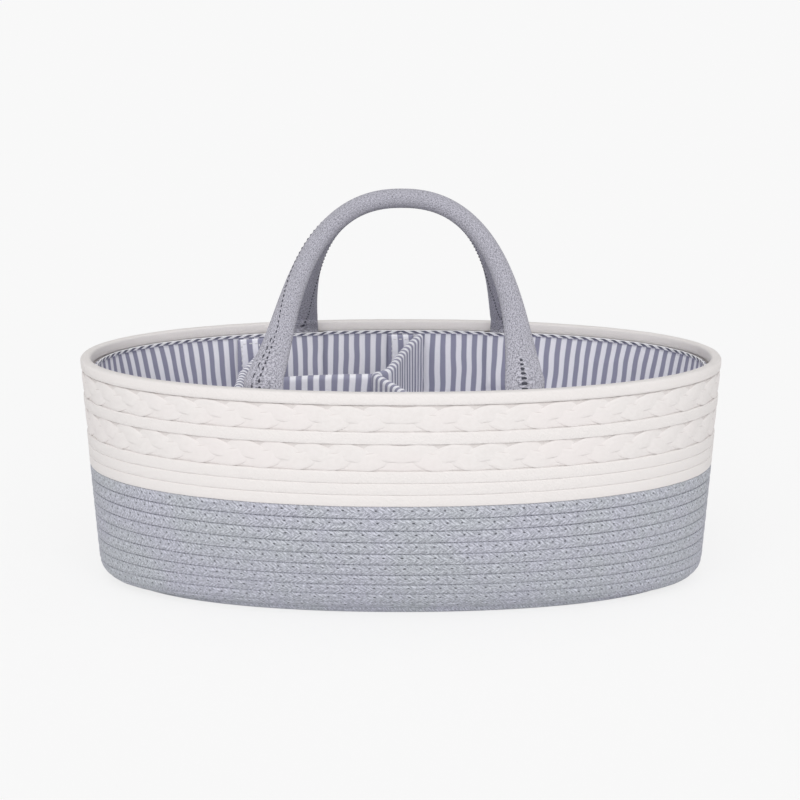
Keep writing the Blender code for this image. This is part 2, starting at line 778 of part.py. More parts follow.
def panel_end(end_x, middle_x, side, height):
    """Where a cross panel's middle line meets its end at a height, on one upright plane."""
    top = BASKET_HEIGHT - PANEL_TOP_BELOW_RIM
    full = abs(wall_y(end_x, side, PANEL_END, top))
    reach = abs(wall_y(end_x, side, PANEL_END, height))
    return middle_x + (end_x - middle_x) * reach / full


def panel_loop(end_xs, middle_x, half, height, draw_in):
    """The six plan corners of a cross panel at one height, bent at the middle."""
    ends = []
    for end_x, side in zip(end_xs, (1, -1)):
        x = panel_end(end_x, middle_x, side, height)
        y = min(abs(wall_y(x + step, side, PANEL_END, height)) for step in (-half, half))
        y = side * (y - draw_in)
        ends.append(((x - half, y, height), (x + half, y, height)))
    bend = ((middle_x - half, 0.0, height), (middle_x + half, 0.0, height))
    return [ends[0][0], ends[0][1], bend[1], ends[1][1], ends[1][0], bend[0]]


def sleeve(name, outer, inner, caps, colour, origin):
    """A cover open at the bottom: outer loops from the bottom up, inner loops the same way."""
    count = len(outer[0])
    points = [p for loop in outer + inner for p in loop]
    shift = len(outer) * count
    faces = []
    for k in range(len(outer) - 1):
        faces += strip_faces(k * count, (k + 1) * count, count)
        faces += strip_faces(shift + (k + 1) * count, shift + k * count, count)
    top = (len(outer) - 1) * count
    for cap in caps:
        faces.append(tuple(top + k for k in cap))
        faces.append(tuple(shift + top + k for k in cap)[::-1])
    faces += strip_faces(shift, 0, count)
    return add_solid(name, points, faces, colour, origin)


def board(name, loops, caps, origin):
    """A stiffening board that fills a cover."""
    count = len(loops[0])
    points = [p for loop in loops for p in loop]
    faces = []
    for k in range(len(loops) - 1):
        faces += strip_faces(k * count, (k + 1) * count, count)
    top = (len(loops) - 1) * count
    for cap in caps:
        faces.append(tuple(top + k for k in cap))
        faces.append(tuple(cap)[::-1])
    return add_solid(name, points, faces, BOARD, origin)


def panel_rows(loop_at, top):
    """Loops of a panel at its row heights, from its open bottom to its top."""
    return [loop_at(PANEL_BOTTOM + (top - PANEL_BOTTOM) * share) for share in PANEL_HEIGHT_SHARES]


def trimmed(loops, bottom_cut, top_cut):
    """The same loops with the lowest raised and the highest lowered, along the same sides."""

    def slide(loop, towards, cut):
        share = cut / abs(towards[0][2] - loop[0][2])
        pairs = zip(np.array(loop), np.array(towards))
        return [tuple(p + (q - p) * share) for p, q in pairs]

    first = slide(loops[0], loops[1], bottom_cut)
    last = slide(loops[-1], loops[-2], top_cut)
    return [first] + loops[1:-1] + [last]


def cross_panel(hand, back_x, middle_x, front_x):
    """A panel across the basket, bent at its middle, with its board."""
    top = BASKET_HEIGHT - PANEL_TOP_BELOW_RIM
    half = PANEL_THICKNESS / 2
    caps = ((0, 1, 2, 5), (5, 2, 3, 4))
    origin = (middle_x, 0.0, PANEL_BOTTOM)

    def rows(shrink):
        return panel_rows(
            lambda h: panel_loop((back_x, front_x), middle_x, half - shrink, h, shrink), top
        )

    cavity = trimmed(rows(PANEL_FABRIC), 0.0, PANEL_FABRIC)
    sleeve(f"divider_{hand}_cover", rows(0.0), cavity, caps, STRIPE_CLOTH, origin)
    inside = PANEL_FABRIC + TOUCH_GAP
    board(f"divider_{hand}_board", trimmed(rows(inside), TOUCH_GAP, inside), caps, origin)


def middle_panel():
    """The panel along the basket, between the two cross panels."""
    top = BASKET_HEIGHT - MIDDLE_TOP_BELOW_RIM
    half = PANEL_THICKNESS / 2
    left = LEFT_MIDDLE_X + half + TOUCH_GAP * 2
    right = RIGHT_MIDDLE_X - half - TOUCH_GAP * 2
    origin = ((left + right) / 2, 0.0, PANEL_BOTTOM)
    caps = ((0, 1, 2, 3),)

    def rows(shrink):
        return panel_rows(
            lambda h: [
                (left + shrink, -half + shrink, h),
                (right - shrink, -half + shrink, h),
                (right - shrink, half - shrink, h),
                (left + shrink, half - shrink, h),
            ],
            top,
        )

    cavity = trimmed(rows(PANEL_FABRIC), 0.0, PANEL_FABRIC)
    sleeve("divider_middle_cover", rows(0.0), cavity, caps, STRIPE_CLOTH, origin)
    inside = PANEL_FABRIC + TOUCH_GAP
    board("divider_middle_board", trimmed(rows(inside), TOUCH_GAP, inside), caps, origin)


def tab_heights():
    """Bottom, middle and top of the hook tabs."""
    top = BASKET_HEIGHT - TAB_TOP_BELOW_RIM
    return [top - TAB_HEIGHT * (1 - share) for share in PATCH_HEIGHT_SHARES]


def tab_axis(end_x, middle_x, side):
    """The fold of a tab: its lowest and highest points, beside the panel's left face."""
    heights = tab_heights()
    x = panel_end(end_x, middle_x, side, heights[0]) - PANEL_THICKNESS / 2 - TAB_ROOT_GAP
    inset = (TAB_OUTER + TAB_INNER) / 2
    return [(x, wall_y(x, side, inset, h), h) for h in (heights[0], heights[-1])]


def hook_tab(place, hand, end_x, middle_x, side):
    """One tab of the insert with its hook tape, and the loop tape that it presses on."""
    foot, _ = tab_axis(end_x, middle_x, side)
    root = foot[0]
    heights = tab_heights()
    tape = [heights[0] + TAPE_MARGIN, heights[1], heights[-1] - TAPE_MARGIN]
    name = f"{place}_{hand}"
    flap = (TAB_OUTER, TAB_INNER)
    far = root - TAB_LENGTH
    wall_patch(f"{name}_tab", far, root, side, heights, flap, STRIPE_CLOTH, foot)
    span = (far + TAPE_MARGIN, root - TAPE_MARGIN)
    hook = (HOOK_TAPE_OUTER, HOOK_TAPE_OUTER + TAPE_THICKNESS)
    wall_patch(f"{name}_hook_tape", *span, side, tape, hook, TAPE_WHITE, foot)
    loop = (LOOP_TAPE_OUTER, LOOP_TAPE_OUTER + TAPE_THICKNESS)
    wall_patch(f"{name}_loop_tape", *span, side, tape, loop, TAPE_WHITE)


def divider_insert():
    """The lift-out insert: three covered boards and four hook tabs."""
    cross_panel("left", LEFT_BACK_X, LEFT_MIDDLE_X, LEFT_FRONT_X)
    cross_panel("right", RIGHT_BACK_X, RIGHT_MIDDLE_X, RIGHT_FRONT_X)
    middle_panel()
    for place, hand, end_x, middle_x, side in tab_places():
        hook_tab(place, hand, end_x, middle_x, side)


def tab_places():
    """The four tabs: place, hand, the panel's end and middle, and the side of the basket."""
    return (
        ("back", "left", LEFT_BACK_X, LEFT_MIDDLE_X, 1),
        ("front", "left", LEFT_FRONT_X, LEFT_MIDDLE_X, -1),
        ("back", "right", RIGHT_BACK_X, RIGHT_MIDDLE_X, 1),
        ("front", "right", RIGHT_FRONT_X, RIGHT_MIDDLE_X, -1),
    )


def report_places():
    """Print the axes and levels that a drawing of the caddy would give."""
    for side, place in ((-1, "front"), (1, "back")):
        print(f"{place} handle fold: y {fold_y(side) * 1000:.2f} z {FOLD_HEIGHT * 1000:.2f} mm")
    for place, hand, end_x, middle_x, side in tab_places():
        low, high = tab_axis(end_x, middle_x, side)
        print(f"{place} {hand} tab fold: {[round(v * 1000, 2) for v in low + high]} mm")


def main():
    clear_scene()
    lowest = rope_wall()
    rope_base(lowest)
    lining_side()
    lining_hem()
    lining_base()
    handle_feet()
    for place in handle_places():
        handle(*place)
    divider_insert()
    report_places()


main()
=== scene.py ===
# %% [markdown]
# # A divided rope caddy
# This lesson dresses a finished CAD frame. The caddy is an oval basket coiled from cotton rope,
# with two plaited bands, a striped lining, two soft handles and a lift-out divider.
# Nearly everything here is a strip: a rope, a plait, a hem or a handle is a long flat grid first,
# and is then laid along the place where it is sewn. Each piece is made that way, so the first
# cells build the tools for it: the wall of the basket as a surface, and a way to lay strips on it.

# %% Load the fixed frame
import math

import bpy
import numpy as np
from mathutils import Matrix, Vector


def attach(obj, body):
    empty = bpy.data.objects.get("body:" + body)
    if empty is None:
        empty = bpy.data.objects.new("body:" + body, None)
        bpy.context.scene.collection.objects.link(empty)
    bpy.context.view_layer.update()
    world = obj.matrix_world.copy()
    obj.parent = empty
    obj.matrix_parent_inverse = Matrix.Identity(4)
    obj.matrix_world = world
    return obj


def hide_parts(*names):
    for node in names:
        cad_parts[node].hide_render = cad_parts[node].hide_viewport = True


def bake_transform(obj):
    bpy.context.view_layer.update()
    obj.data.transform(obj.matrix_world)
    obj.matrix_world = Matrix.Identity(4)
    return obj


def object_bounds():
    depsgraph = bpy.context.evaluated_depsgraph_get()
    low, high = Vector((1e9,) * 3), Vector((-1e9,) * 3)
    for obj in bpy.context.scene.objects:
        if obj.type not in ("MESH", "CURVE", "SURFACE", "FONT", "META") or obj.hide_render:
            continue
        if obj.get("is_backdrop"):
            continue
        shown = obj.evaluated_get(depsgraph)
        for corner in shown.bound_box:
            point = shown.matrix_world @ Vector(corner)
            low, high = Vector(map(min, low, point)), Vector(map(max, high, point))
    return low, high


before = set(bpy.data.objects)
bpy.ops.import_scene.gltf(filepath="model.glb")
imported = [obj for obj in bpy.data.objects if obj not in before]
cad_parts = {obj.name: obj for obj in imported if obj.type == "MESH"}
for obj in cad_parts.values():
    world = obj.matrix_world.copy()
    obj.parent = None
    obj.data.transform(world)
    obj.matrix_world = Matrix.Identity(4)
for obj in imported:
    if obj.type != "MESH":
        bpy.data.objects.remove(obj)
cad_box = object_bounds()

bpy.ops.object.select_all(action="DESELECT")
print("frame:", len(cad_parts), "nodes,", [round(v, 4) for v in cad_box[1] - cad_box[0]])

# %% [markdown]
# ## Camera, light and floor
# The picture was taken from a little above the rim with a long lens, so the camera stands just
# over a metre away and looks down by about fourteen degrees. A white world gives most of the
# light, as a light tent does, and one very soft sun from above and in front shapes the ropes.
# The floor is a plain pale sheet that keeps a soft shadow, and the world shows the camera the same
# pale colour above the floor's far edge, so that no horizon is seen.

# %% Camera, light and floor
CAMERA_PLACE = (-0.0005, -1.0452, 0.3636)
CAMERA_PITCH = math.radians(90 - 13.66)
LENS_MM = 80.54
WORLD_LEVEL, SUN_LEVEL, SUN_SOFTNESS = 0.58, 1.70, math.radians(75)
SUN_TURN = (math.radians(56), math.radians(-2), 0.0)
FLOOR_SIZE = 60.0
FLOOR_COLOUR = (0.963, 0.963, 0.963, 1.0)
FLOOR_GLOW_SHARE, BACKDROP_LEVEL = 0.80, 0.975

bpy.ops.object.camera_add(location=CAMERA_PLACE, rotation=(CAMERA_PITCH, 0.0, 0.0))
camera = bpy.context.object
camera.name = "studio_camera"
camera.data.lens = LENS_MM
camera.data.clip_end = 200.0
bpy.context.scene.camera = camera

bpy.ops.object.light_add(type="SUN", rotation=SUN_TURN)
sun = bpy.context.object
sun.name = "soft_sun"
sun.data.energy = SUN_LEVEL
sun.data.angle = SUN_SOFTNESS


def seen_rays(nodes, links):
    """1 for a ray from the camera or one mirrored or let through to it, and 0 for the light."""
    rays = nodes.new("ShaderNodeLightPath")
    seen = rays.outputs["Is Camera Ray"]
    for kind in ("Is Glossy Ray", "Is Transmission Ray"):
        either = nodes.new("ShaderNodeMath")
        either.operation = "MAXIMUM"
        links.new(seen, either.inputs[0])
        links.new(rays.outputs[kind], either.inputs[1])
        seen = either.outputs[0]
    return seen


def mixed(nodes, links, share, first, second, surface):
    """Lead a mix of two shaders, by a share of the second, to an output."""
    both = nodes.new("ShaderNodeMixShader")
    for k, socket in enumerate((share, first.outputs[0], second.outputs[0])):
        links.new(socket, both.inputs[k])
    links.new(both.outputs[0], surface)


world = bpy.data.worlds.new("light_tent")
world.use_nodes = True
nodes, links = world.node_tree.nodes, world.node_tree.links
tent, backdrop = nodes["Background"], nodes.new("ShaderNodeBackground")
for shader, tint, level in ((tent, (1.0, 1.0, 1.0, 1.0), WORLD_LEVEL),
                            (backdrop, FLOOR_COLOUR, BACKDROP_LEVEL)):
    shader.inputs["Color"].default_value = tint
    shader.inputs["Strength"].default_value = level
mixed(nodes, links, seen_rays(nodes, links), tent, backdrop,
      nodes["World Output"].inputs["Surface"])
bpy.context.scene.world = world
bpy.context.scene.view_settings.view_transform = "Standard"

bpy.ops.mesh.primitive_plane_add(size=FLOOR_SIZE)
floor = bpy.context.object
floor.name = "studio_floor"
paper = bpy.data.materials.new("pale_paper")
paper.use_nodes = True
nodes, links = paper.node_tree.nodes, paper.node_tree.links
matte = nodes["Principled BSDF"]
matte.inputs["Base Color"].default_value = FLOOR_COLOUR
matte.inputs["Roughness"].default_value = 1.0
matte.inputs["Specular IOR Level"].default_value = 0.0
glow = nodes.new("ShaderNodeEmission")
glow.inputs["Color"].default_value = FLOOR_COLOUR
share = nodes.new("ShaderNodeMath")
share.operation = "MULTIPLY"
share.inputs[1].default_value = FLOOR_GLOW_SHARE
links.new(seen_rays(nodes, links), share.inputs[0])
mixed(nodes, links, share.outputs[0], matte, glow, nodes["Material Output"].inputs["Surface"])
floor.data.materials.append(paper)
floor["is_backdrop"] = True
print("camera", CAMERA_PLACE, "lens", LENS_MM)

# %% [markdown]
# ## The wall as a surface
# Every rope, plait and cloth edge of the basket follows one oval wall. Its plan is a slightly
# squared oval, its long sides flare near the base, and a rounded corner turns it in at the floor.
# A table of points and outward normals, one row for each direction round the oval, lets any strip
# be placed by three numbers: the turn round the oval, the distance down from the rim, and how far
# in from the outside of the rope it lies. The sizes are those of the CAD part.

# %% The wall as a surface
RIM_HALF = (0.1905, 0.1059)
BASE_HALF = (0.1832, 0.0718)
WALL_HEIGHT = 0.1384
CORNER_RADIUS = 0.0145
PLAN_POWER = 2.1
FLARE_POWER = 3.2
GREY_ACROSS, GREY_PITCH = 0.00655, 0.00755
CREAM_ACROSS, CREAM_PITCH = 0.0064, 0.00685
WALL_MIDDLE = GREY_ACROSS / 2
FLOOR_MIDDLE = WALL_MIDDLE + 0.0003
CORNER_MIDDLE = CORNER_RADIUS - WALL_MIDDLE
DIRECTIONS, DOWN_STEP = 1440, 0.001
SIDE_ROWS, CORNER_ROWS, FLOOR_ROWS = 140, 39, 20


def build_wall():
    """Points and normals of the middle of the rope wall, for each direction and each step down."""
    turn = np.arange(DIRECTIONS) * 2 * math.pi / DIRECTIONS
    c, s = np.cos(turn), np.sin(turn)
    c = np.sign(c) * np.abs(c) ** (2 / PLAN_POWER)
    s = np.sign(s) * np.abs(s) ** (2 / PLAN_POWER)
    corner_top = FLOOR_MIDDLE + CORNER_MIDDLE
    bend = np.linspace(0, math.pi / 2, CORNER_ROWS + 1)[1:]
    heights = np.concatenate([np.linspace(WALL_HEIGHT, corner_top, SIDE_ROWS),
                              corner_top - CORNER_MIDDLE * np.sin(bend),
                              np.full(FLOOR_ROWS, FLOOR_MIDDLE)])
    pulls = np.concatenate([np.zeros(SIDE_ROWS), CORNER_MIDDLE * (1 - np.cos(bend)),
                            CORNER_MIDDLE * (1 + np.arange(1, FLOOR_ROWS + 1) / FLOOR_ROWS)])
    up = heights / WALL_HEIGHT
    length = BASE_HALF[0] + (RIM_HALF[0] - BASE_HALF[0]) * up - WALL_MIDDLE
    flare = np.clip(1 - up, 0, 1) ** FLARE_POWER
    depth = RIM_HALF[1] - (RIM_HALF[1] - BASE_HALF[1]) * flare - WALL_MIDDLE
    slope = np.stack([np.sign(c) * np.abs(c) ** (PLAN_POWER - 1) / length[:, None],
                      np.sign(s) * np.abs(s) ** (PLAN_POWER - 1) / depth[:, None]], axis=-1)
    level = slope / np.linalg.norm(slope, axis=-1, keepdims=True)
    points = np.stack([length[:, None] * c - pulls[:, None] * level[..., 0],
                       depth[:, None] * s - pulls[:, None] * level[..., 1],
                       np.repeat(heights[:, None], DIRECTIONS, axis=1)], axis=-1)
    along = np.gradient(points, axis=0)
    along /= np.linalg.norm(along, axis=-1, keepdims=True)
    lean = (level * along[..., :2]).sum(-1, keepdims=True)
    normals = np.concatenate([-level * along[..., 2:], lean], axis=-1)
    normals /= np.linalg.norm(normals, axis=-1, keepdims=True)
    run = np.concatenate([np.zeros((1, DIRECTIONS)),
                          np.cumsum(np.linalg.norm(np.diff(points, axis=0), axis=-1), axis=0)])
    steps = np.arange(0, run[-1].max(), DOWN_STEP)
    table = np.empty((DIRECTIONS, len(steps), 6))
    for k in range(DIRECTIONS):
        for axis in range(3):
            table[k, :, axis] = np.interp(steps, run[:, k], points[:, k, axis])
            table[k, :, 3 + axis] = np.interp(steps, run[:, k], normals[:, k, axis])
    return table


WALL = build_wall()
print("wall table", WALL.shape)

# %% [markdown]
# ## Measuring on the wall
# A maker marks cloth with a tape laid on the wall, and these helpers do the same. One reads a
# place from the table. The others give the length once round at a depth, the depth of a height,
# and how far the wall is from the long axis. Each could be solved as a formula, but the squared
# oval has none that is short, so the answer is searched for in a few steps.

# %% Measuring on the wall
HALVINGS = 24
SIGHTINGS, SIGHT_DEPTH, SIGHT_GAIN = 12, 0.09, 5.0


def wall(turn, down, inset):
    """Places on the wall: turn round the oval, metres down from the rim, metres in from outside."""
    turn, down, inset = np.broadcast_arrays(turn, down, inset)
    a = turn / (2 * math.pi) % 1.0 * DIRECTIONS
    i = np.floor(a).astype(int) % DIRECTIONS
    f = (a - np.floor(a))[..., None]
    b = down / DOWN_STEP
    j = np.clip(np.floor(b), 0, WALL.shape[1] - 2).astype(int)
    g = (b - j)[..., None]
    k = (i + 1) % DIRECTIONS
    place = (WALL[i, j] * (1 - g) + WALL[i, j + 1] * g) * (1 - f)
    place += (WALL[k, j] * (1 - g) + WALL[k, j + 1] * g) * f
    normal = place[..., 3:] / np.linalg.norm(place[..., 3:], axis=-1, keepdims=True)
    return place[..., :3] + normal * (WALL_MIDDLE - inset)[..., None]


def round_lengths(down):
    """Turns from the front middle all the way round, and the length round the wall up to each."""
    turns = np.linspace(-math.pi / 2, 1.5 * math.pi, DIRECTIONS * 2 + 1)
    line = wall(turns, down, WALL_MIDDLE)
    lengths = np.concatenate([[0.0], np.cumsum(np.linalg.norm(np.diff(line, axis=0), axis=1))])
    return turns, lengths


def down_at(turn, height):
    """How far down the wall a height is, at each turn."""
    turn, height = np.broadcast_arrays(turn, height)
    low, high = np.zeros(turn.shape), np.full(turn.shape, (WALL.shape[1] - 2) * DOWN_STEP)
    for _ in range(HALVINGS):
        middle = (low + high) / 2
        above = wall(turn, middle, WALL_MIDDLE)[..., 2] > height
        low, high = np.where(above, middle, low), np.where(above, high, middle)
    return (low + high) / 2


def wall_reach(x, side, height, inset):
    """How far the inside of the wall is from the long axis, at an x and a height."""
    x, height = np.broadcast_arrays(np.asarray(x, dtype=float), np.asarray(height, dtype=float))
    facing = np.arctan2(side * np.ones_like(x), x / SIGHT_DEPTH)
    for _ in range(SIGHTINGS):
        spot = wall(facing, down_at(facing, height), inset)
        facing = facing + (spot[..., 0] - x) * side * SIGHT_GAIN
    return np.abs(wall(facing, down_at(facing, height), inset)[..., 1])


print("round the rim", round(round_lengths(0.0)[1][-1], 4), "m")

# %% [markdown]
# ## Laying a strip
# A grid is the flat blank of every strip. It is added as a primitive, and its points are then
# moved to where the strip goes. The grid keeps its UV map, stretched to real metres, so a braid,
# a stripe or a weave follows the strip and keeps its true scale. Where two edges of the grid meet,
# as along a tube, the double points are merged.

# %% Laying a strip
MERGE_WITHIN = 0.000004


def read_uv(obj):
    """A piece's UV map, one row for each corner of a face."""
    uv = np.empty(len(obj.data.loops) * 2)
    obj.data.uv_layers[0].data.foreach_get("uv", uv)
    return uv.reshape(-1, 2)


def write_uv(obj, uv):
    obj.data.uv_layers[0].data.foreach_set("uv", uv.ravel())


def corner_places(obj):
    """Where each corner of a face lies, in metres."""
    spots = np.empty(len(obj.data.vertices) * 3)
    obj.data.vertices.foreach_get("co", spots)
    corners = np.empty(len(obj.data.loops), dtype=int)
    obj.data.loops.foreach_get("vertex_index", corners)
    return spots.reshape(-1, 3)[corners]


def lay(name, columns, rows, place, size=(1.0, 1.0)):
    """Make a grid and move each point to place(u, v). Its UV map runs to size, in metres."""
    bpy.ops.object.select_all(action="DESELECT")
    bpy.ops.mesh.primitive_grid_add(x_subdivisions=columns, y_subdivisions=rows, size=2)
    obj = bpy.context.object
    obj.name = obj.data.name = name
    flat = np.empty(len(obj.data.vertices) * 3)
    obj.data.vertices.foreach_get("co", flat)
    flat = (flat.reshape(-1, 3) + 1) / 2
    obj.data.vertices.foreach_set("co", np.asarray(place(flat[:, 0], flat[:, 1])).ravel())
    write_uv(obj, read_uv(obj) * size)
    bpy.ops.object.mode_set(mode="EDIT")
    bpy.ops.mesh.select_all(action="SELECT")
    bpy.ops.mesh.remove_doubles(threshold=MERGE_WITHIN)
    bpy.ops.mesh.normals_make_consistent(inside=False)
    bpy.ops.object.mode_set(mode="OBJECT")
    bpy.ops.object.shade_smooth()
    return obj


def join(name, parts):
    """Join several laid strips into one piece."""
    bpy.ops.object.select_all(action="DESELECT")
    for part in parts:
        part.select_set(True)
    bpy.context.view_layer.objects.active = parts[0]
    if len(parts) > 1:
        bpy.ops.object.join()
    obj = bpy.context.object
    obj.name = obj.data.name = name
    return obj


def dress(obj, material, body, slot, *nodes):
    """Give a piece its finish, the body it rides on and the nodes that it stands for; slot is not
    used.
    """
    obj.data.materials.append(material)
    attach(obj, body)
    if nodes:
        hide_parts(*nodes)
    return obj


# %% [markdown]
# ## Sections and small curves
# A rope's section isn't a circle once it is sewn to its neighbours, and a tape's is a thin band.
# Both could be drawn as curves and swept, but a strip needs them only as numbers: how far across
# and how far out each point of its short side goes. Two soft curves go with them, a gentle step
# and an uneven wave that keeps soft goods from looking machined.

# %% Sections and small curves
def oval_section(around, power):
    """A rounded section: across and out, each from -1 to 1, for a share of the way round."""
    c, s = np.cos(around * 2 * math.pi), np.sin(around * 2 * math.pi)
    return np.sign(c) * np.abs(c) ** (2 / power), np.sign(s) * np.abs(s) ** (2 / power)


def band_section(v, wide, thick):
    """Round a thin band: share of its width from 0 to 1, and its face from -1 to 1."""
    share = (1 - np.cos(v * 2 * math.pi)) / 2
    near = np.clip(np.minimum(share, 1 - share) * wide / (thick / 2), 0, 1)
    face = np.sqrt(np.clip(1 - (1 - near) ** 2, 0, 1)) * np.where(v < 0.5, 1.0, -1.0)
    return share, face


def rounded_ends(u, length, radius):
    """A share of the full section that falls to zero in a round end at both ends of a tube."""
    near = np.minimum(u, 1 - u) * length / radius
    return np.sqrt(np.clip(1 - (1 - np.clip(near, 0, 1)) ** 2, 0, 1))


def smooth(x):
    """A soft step from 0 to 1."""
    x = np.clip(x, 0, 1)
    return x * x * (3 - 2 * x)


def wave(x, seed):
    """A slow uneven wave, the same each time, for soft goods that are never quite true."""
    return sum(np.sin(x * speed + seed * shift)
               for speed, shift in ((7.3, 1.0), (17.9, 2.3), (41.7, 5.1))) / 3


print("wave at 0.1:", round(float(wave(0.1, 0.0)), 3))

# %% [markdown]
# ## A small kit for materials
# Every finish is a node network made from the same few steps: read the strip's own UV map in
# metres, make a pattern with arithmetic, mix colours by it and turn it into relief. Small helpers
# keep each finish short enough to read.

# %% A small kit for materials
class Finish:
    """A Principled material and short ways to add the nodes that drive it."""

    def __init__(self, name, roughness, sheen=0.0):
        self.material = bpy.data.materials.new(name)
        self.material.use_nodes = True
        self.nodes = self.material.node_tree.nodes
        self.links = self.material.node_tree.links
        self.shader = self.nodes["Principled BSDF"]
        self.shader.inputs["Roughness"].default_value = roughness
        self.shader.inputs["Specular IOR Level"].default_value = 0.25
        self.shader.inputs["Sheen Weight"].default_value = sheen
        self.shader.inputs["Sheen Roughness"].default_value = 0.6

    def put(self, socket, value):
        if isinstance(value, bpy.types.NodeSocket):
            self.links.new(value, socket)
        else:
            socket.default_value = value

    def maths(self, operation, a, b=0.0):
        node = self.nodes.new("ShaderNodeMath")
        node.operation = operation
        for socket, value in zip(node.inputs, (a, b)):
            self.put(socket, value)
        return node.outputs[0]

    def plus(self, a, b):
        return self.maths("ADD", a, b)

    def minus(self, a, b):
        return self.maths("SUBTRACT", a, b)

    def times(self, a, b):
        return self.maths("MULTIPLY", a, b)

    def own_uv(self):
        """The strip's own UV map, in metres: along it and across it."""
        node = self.nodes.new("ShaderNodeUVMap")
        node.uv_map = "UVMap"
        split = self.nodes.new("ShaderNodeSeparateXYZ")
        self.links.new(node.outputs[0], split.inputs[0])
        return split.outputs[0], split.outputs[1]

    def place(self):
        node = self.nodes.new("ShaderNodeTexCoord")
        return node.outputs["Object"]

    def vector(self, x, y, z=0.0):
        node = self.nodes.new("ShaderNodeCombineXYZ")
        for socket, value in zip(node.inputs, (x, y, z)):
            self.put(socket, value)
        return node.outputs[0]

    def noise(self, vector, scale, detail=3.0, roughness=0.55):
        node = self.nodes.new("ShaderNodeTexNoise")
        self.links.new(vector, node.inputs["Vector"])
        node.inputs["Scale"].default_value = scale
        node.inputs["Detail"].default_value = detail
        node.inputs["Roughness"].default_value = roughness
        return node.outputs["Fac"]

    def remap(self, value, low, high, to_low=0.0, to_high=1.0):
        node = self.nodes.new("ShaderNodeMapRange")
        node.interpolation_type = "SMOOTHSTEP"
        for socket, number in zip(node.inputs, (value, low, high, to_low, to_high)):
            self.put(socket, number)
        return node.outputs[0]

    def blend(self, share, a, b, mode="MIX"):
        node = self.nodes.new("ShaderNodeMix")
        node.data_type = "RGBA"
        node.blend_type = mode
        self.put(node.inputs[0], share)
        for socket, value in ((node.inputs[6], a), (node.inputs[7], b)):
            self.put(socket, (*value, 1.0) if isinstance(value, tuple) else value)
        return node.outputs[2]

    def stain(self, base, share, strength, colour):
        """Mix a colour into another by a share of a pattern."""
        return self.blend(self.times(share, strength), base, colour)

    def relief(self, height, strength, distance):
        node = self.nodes.new("ShaderNodeBump")
        node.inputs["Strength"].default_value = strength
        node.inputs["Distance"].default_value = distance
        self.links.new(height, node.inputs["Height"])
        self.links.new(node.outputs[0], self.shader.inputs["Normal"])

    def colour(self, value):
        self.links.new(value, self.shader.inputs["Base Color"])
        return self.material


def stripes_along(finish, along, pitch, edge=0.06):
    """A share that is 1 on the dark stripes and 0 on the pale ones, along a strip."""
    phase = finish.maths("FRACT", finish.maths("DIVIDE", along, pitch))
    away = finish.maths("ABSOLUTE", finish.minus(phase, 0.5))
    return finish.remap(away, 0.25 - edge / 2, 0.25 + edge / 2, 1.0, 0.0)


def weave_of(finish, along, across, thread):
    """The over and under of a plain weave, as a height from 0 to 1."""
    a = finish.maths("SINE", finish.times(along, math.pi / thread))
    b = finish.maths("SINE", finish.times(across, math.pi / thread))
    return finish.maths("ABSOLUTE", finish.times(a, b))


# %% [markdown]
# ## Rope finishes
# Both ropes are round braids over a filler, so their face shows small slanting yarns that meet in
# a row of chevrons along each course, and the gaps between the yarns are darkened as painted shade.
# The grey one is heather yarn: pale and dark fibres spun together, which reads as salt and pepper.
# Needle holes sit along each course where the zigzag seam that joins the rows goes through, each
# dented and darkened with painted shade. The cream one is the same braid, nearly without contrast.

# %% Rope finishes
def rope_uv(obj, wide, thick, power, middle):
    """Give a rope's UV map real metres round its section, from the middle of its seen face."""
    shares = np.linspace(0, 1, 1441)
    a, o = oval_section(shares, power)
    steps = np.hypot(np.diff(a) * wide / 2, np.diff(o) * thick / 2)
    run = np.concatenate([[0.0], np.cumsum(steps)])
    uv = read_uv(obj)
    uv[:, 1] = np.interp(uv[:, 1], shares, run) - np.interp(middle, shares, run)
    write_uv(obj, uv)


YARN_WIDTH, YARN_SLANT = 0.0019, 0.85
HOLE_STEP = 0.0057
HOLE_ROWS = ((-0.0015, 0.0, 1.0, 0.00046), (0.0017, 0.42, 0.55, 0.00034))


def needle_holes(finish, along, around, row):
    """A share that is 1 in a row of needle holes: its place, shift, depth and radius."""
    place, shift, depth, size = row
    wobble = finish.times(finish.noise(finish.vector(along, around), 90.0, 1.0), 0.0030)
    x = finish.maths("DIVIDE", finish.plus(along, wobble), HOLE_STEP)
    x = finish.times(finish.minus(finish.maths("FRACT", finish.plus(x, shift)), 0.5), HOLE_STEP)
    y = finish.minus(around, place)
    away = finish.maths("SQRT", finish.plus(finish.times(x, x), finish.times(y, y)))
    return finish.remap(away, size * 0.5, size * 1.5, 1.0, 0.0)


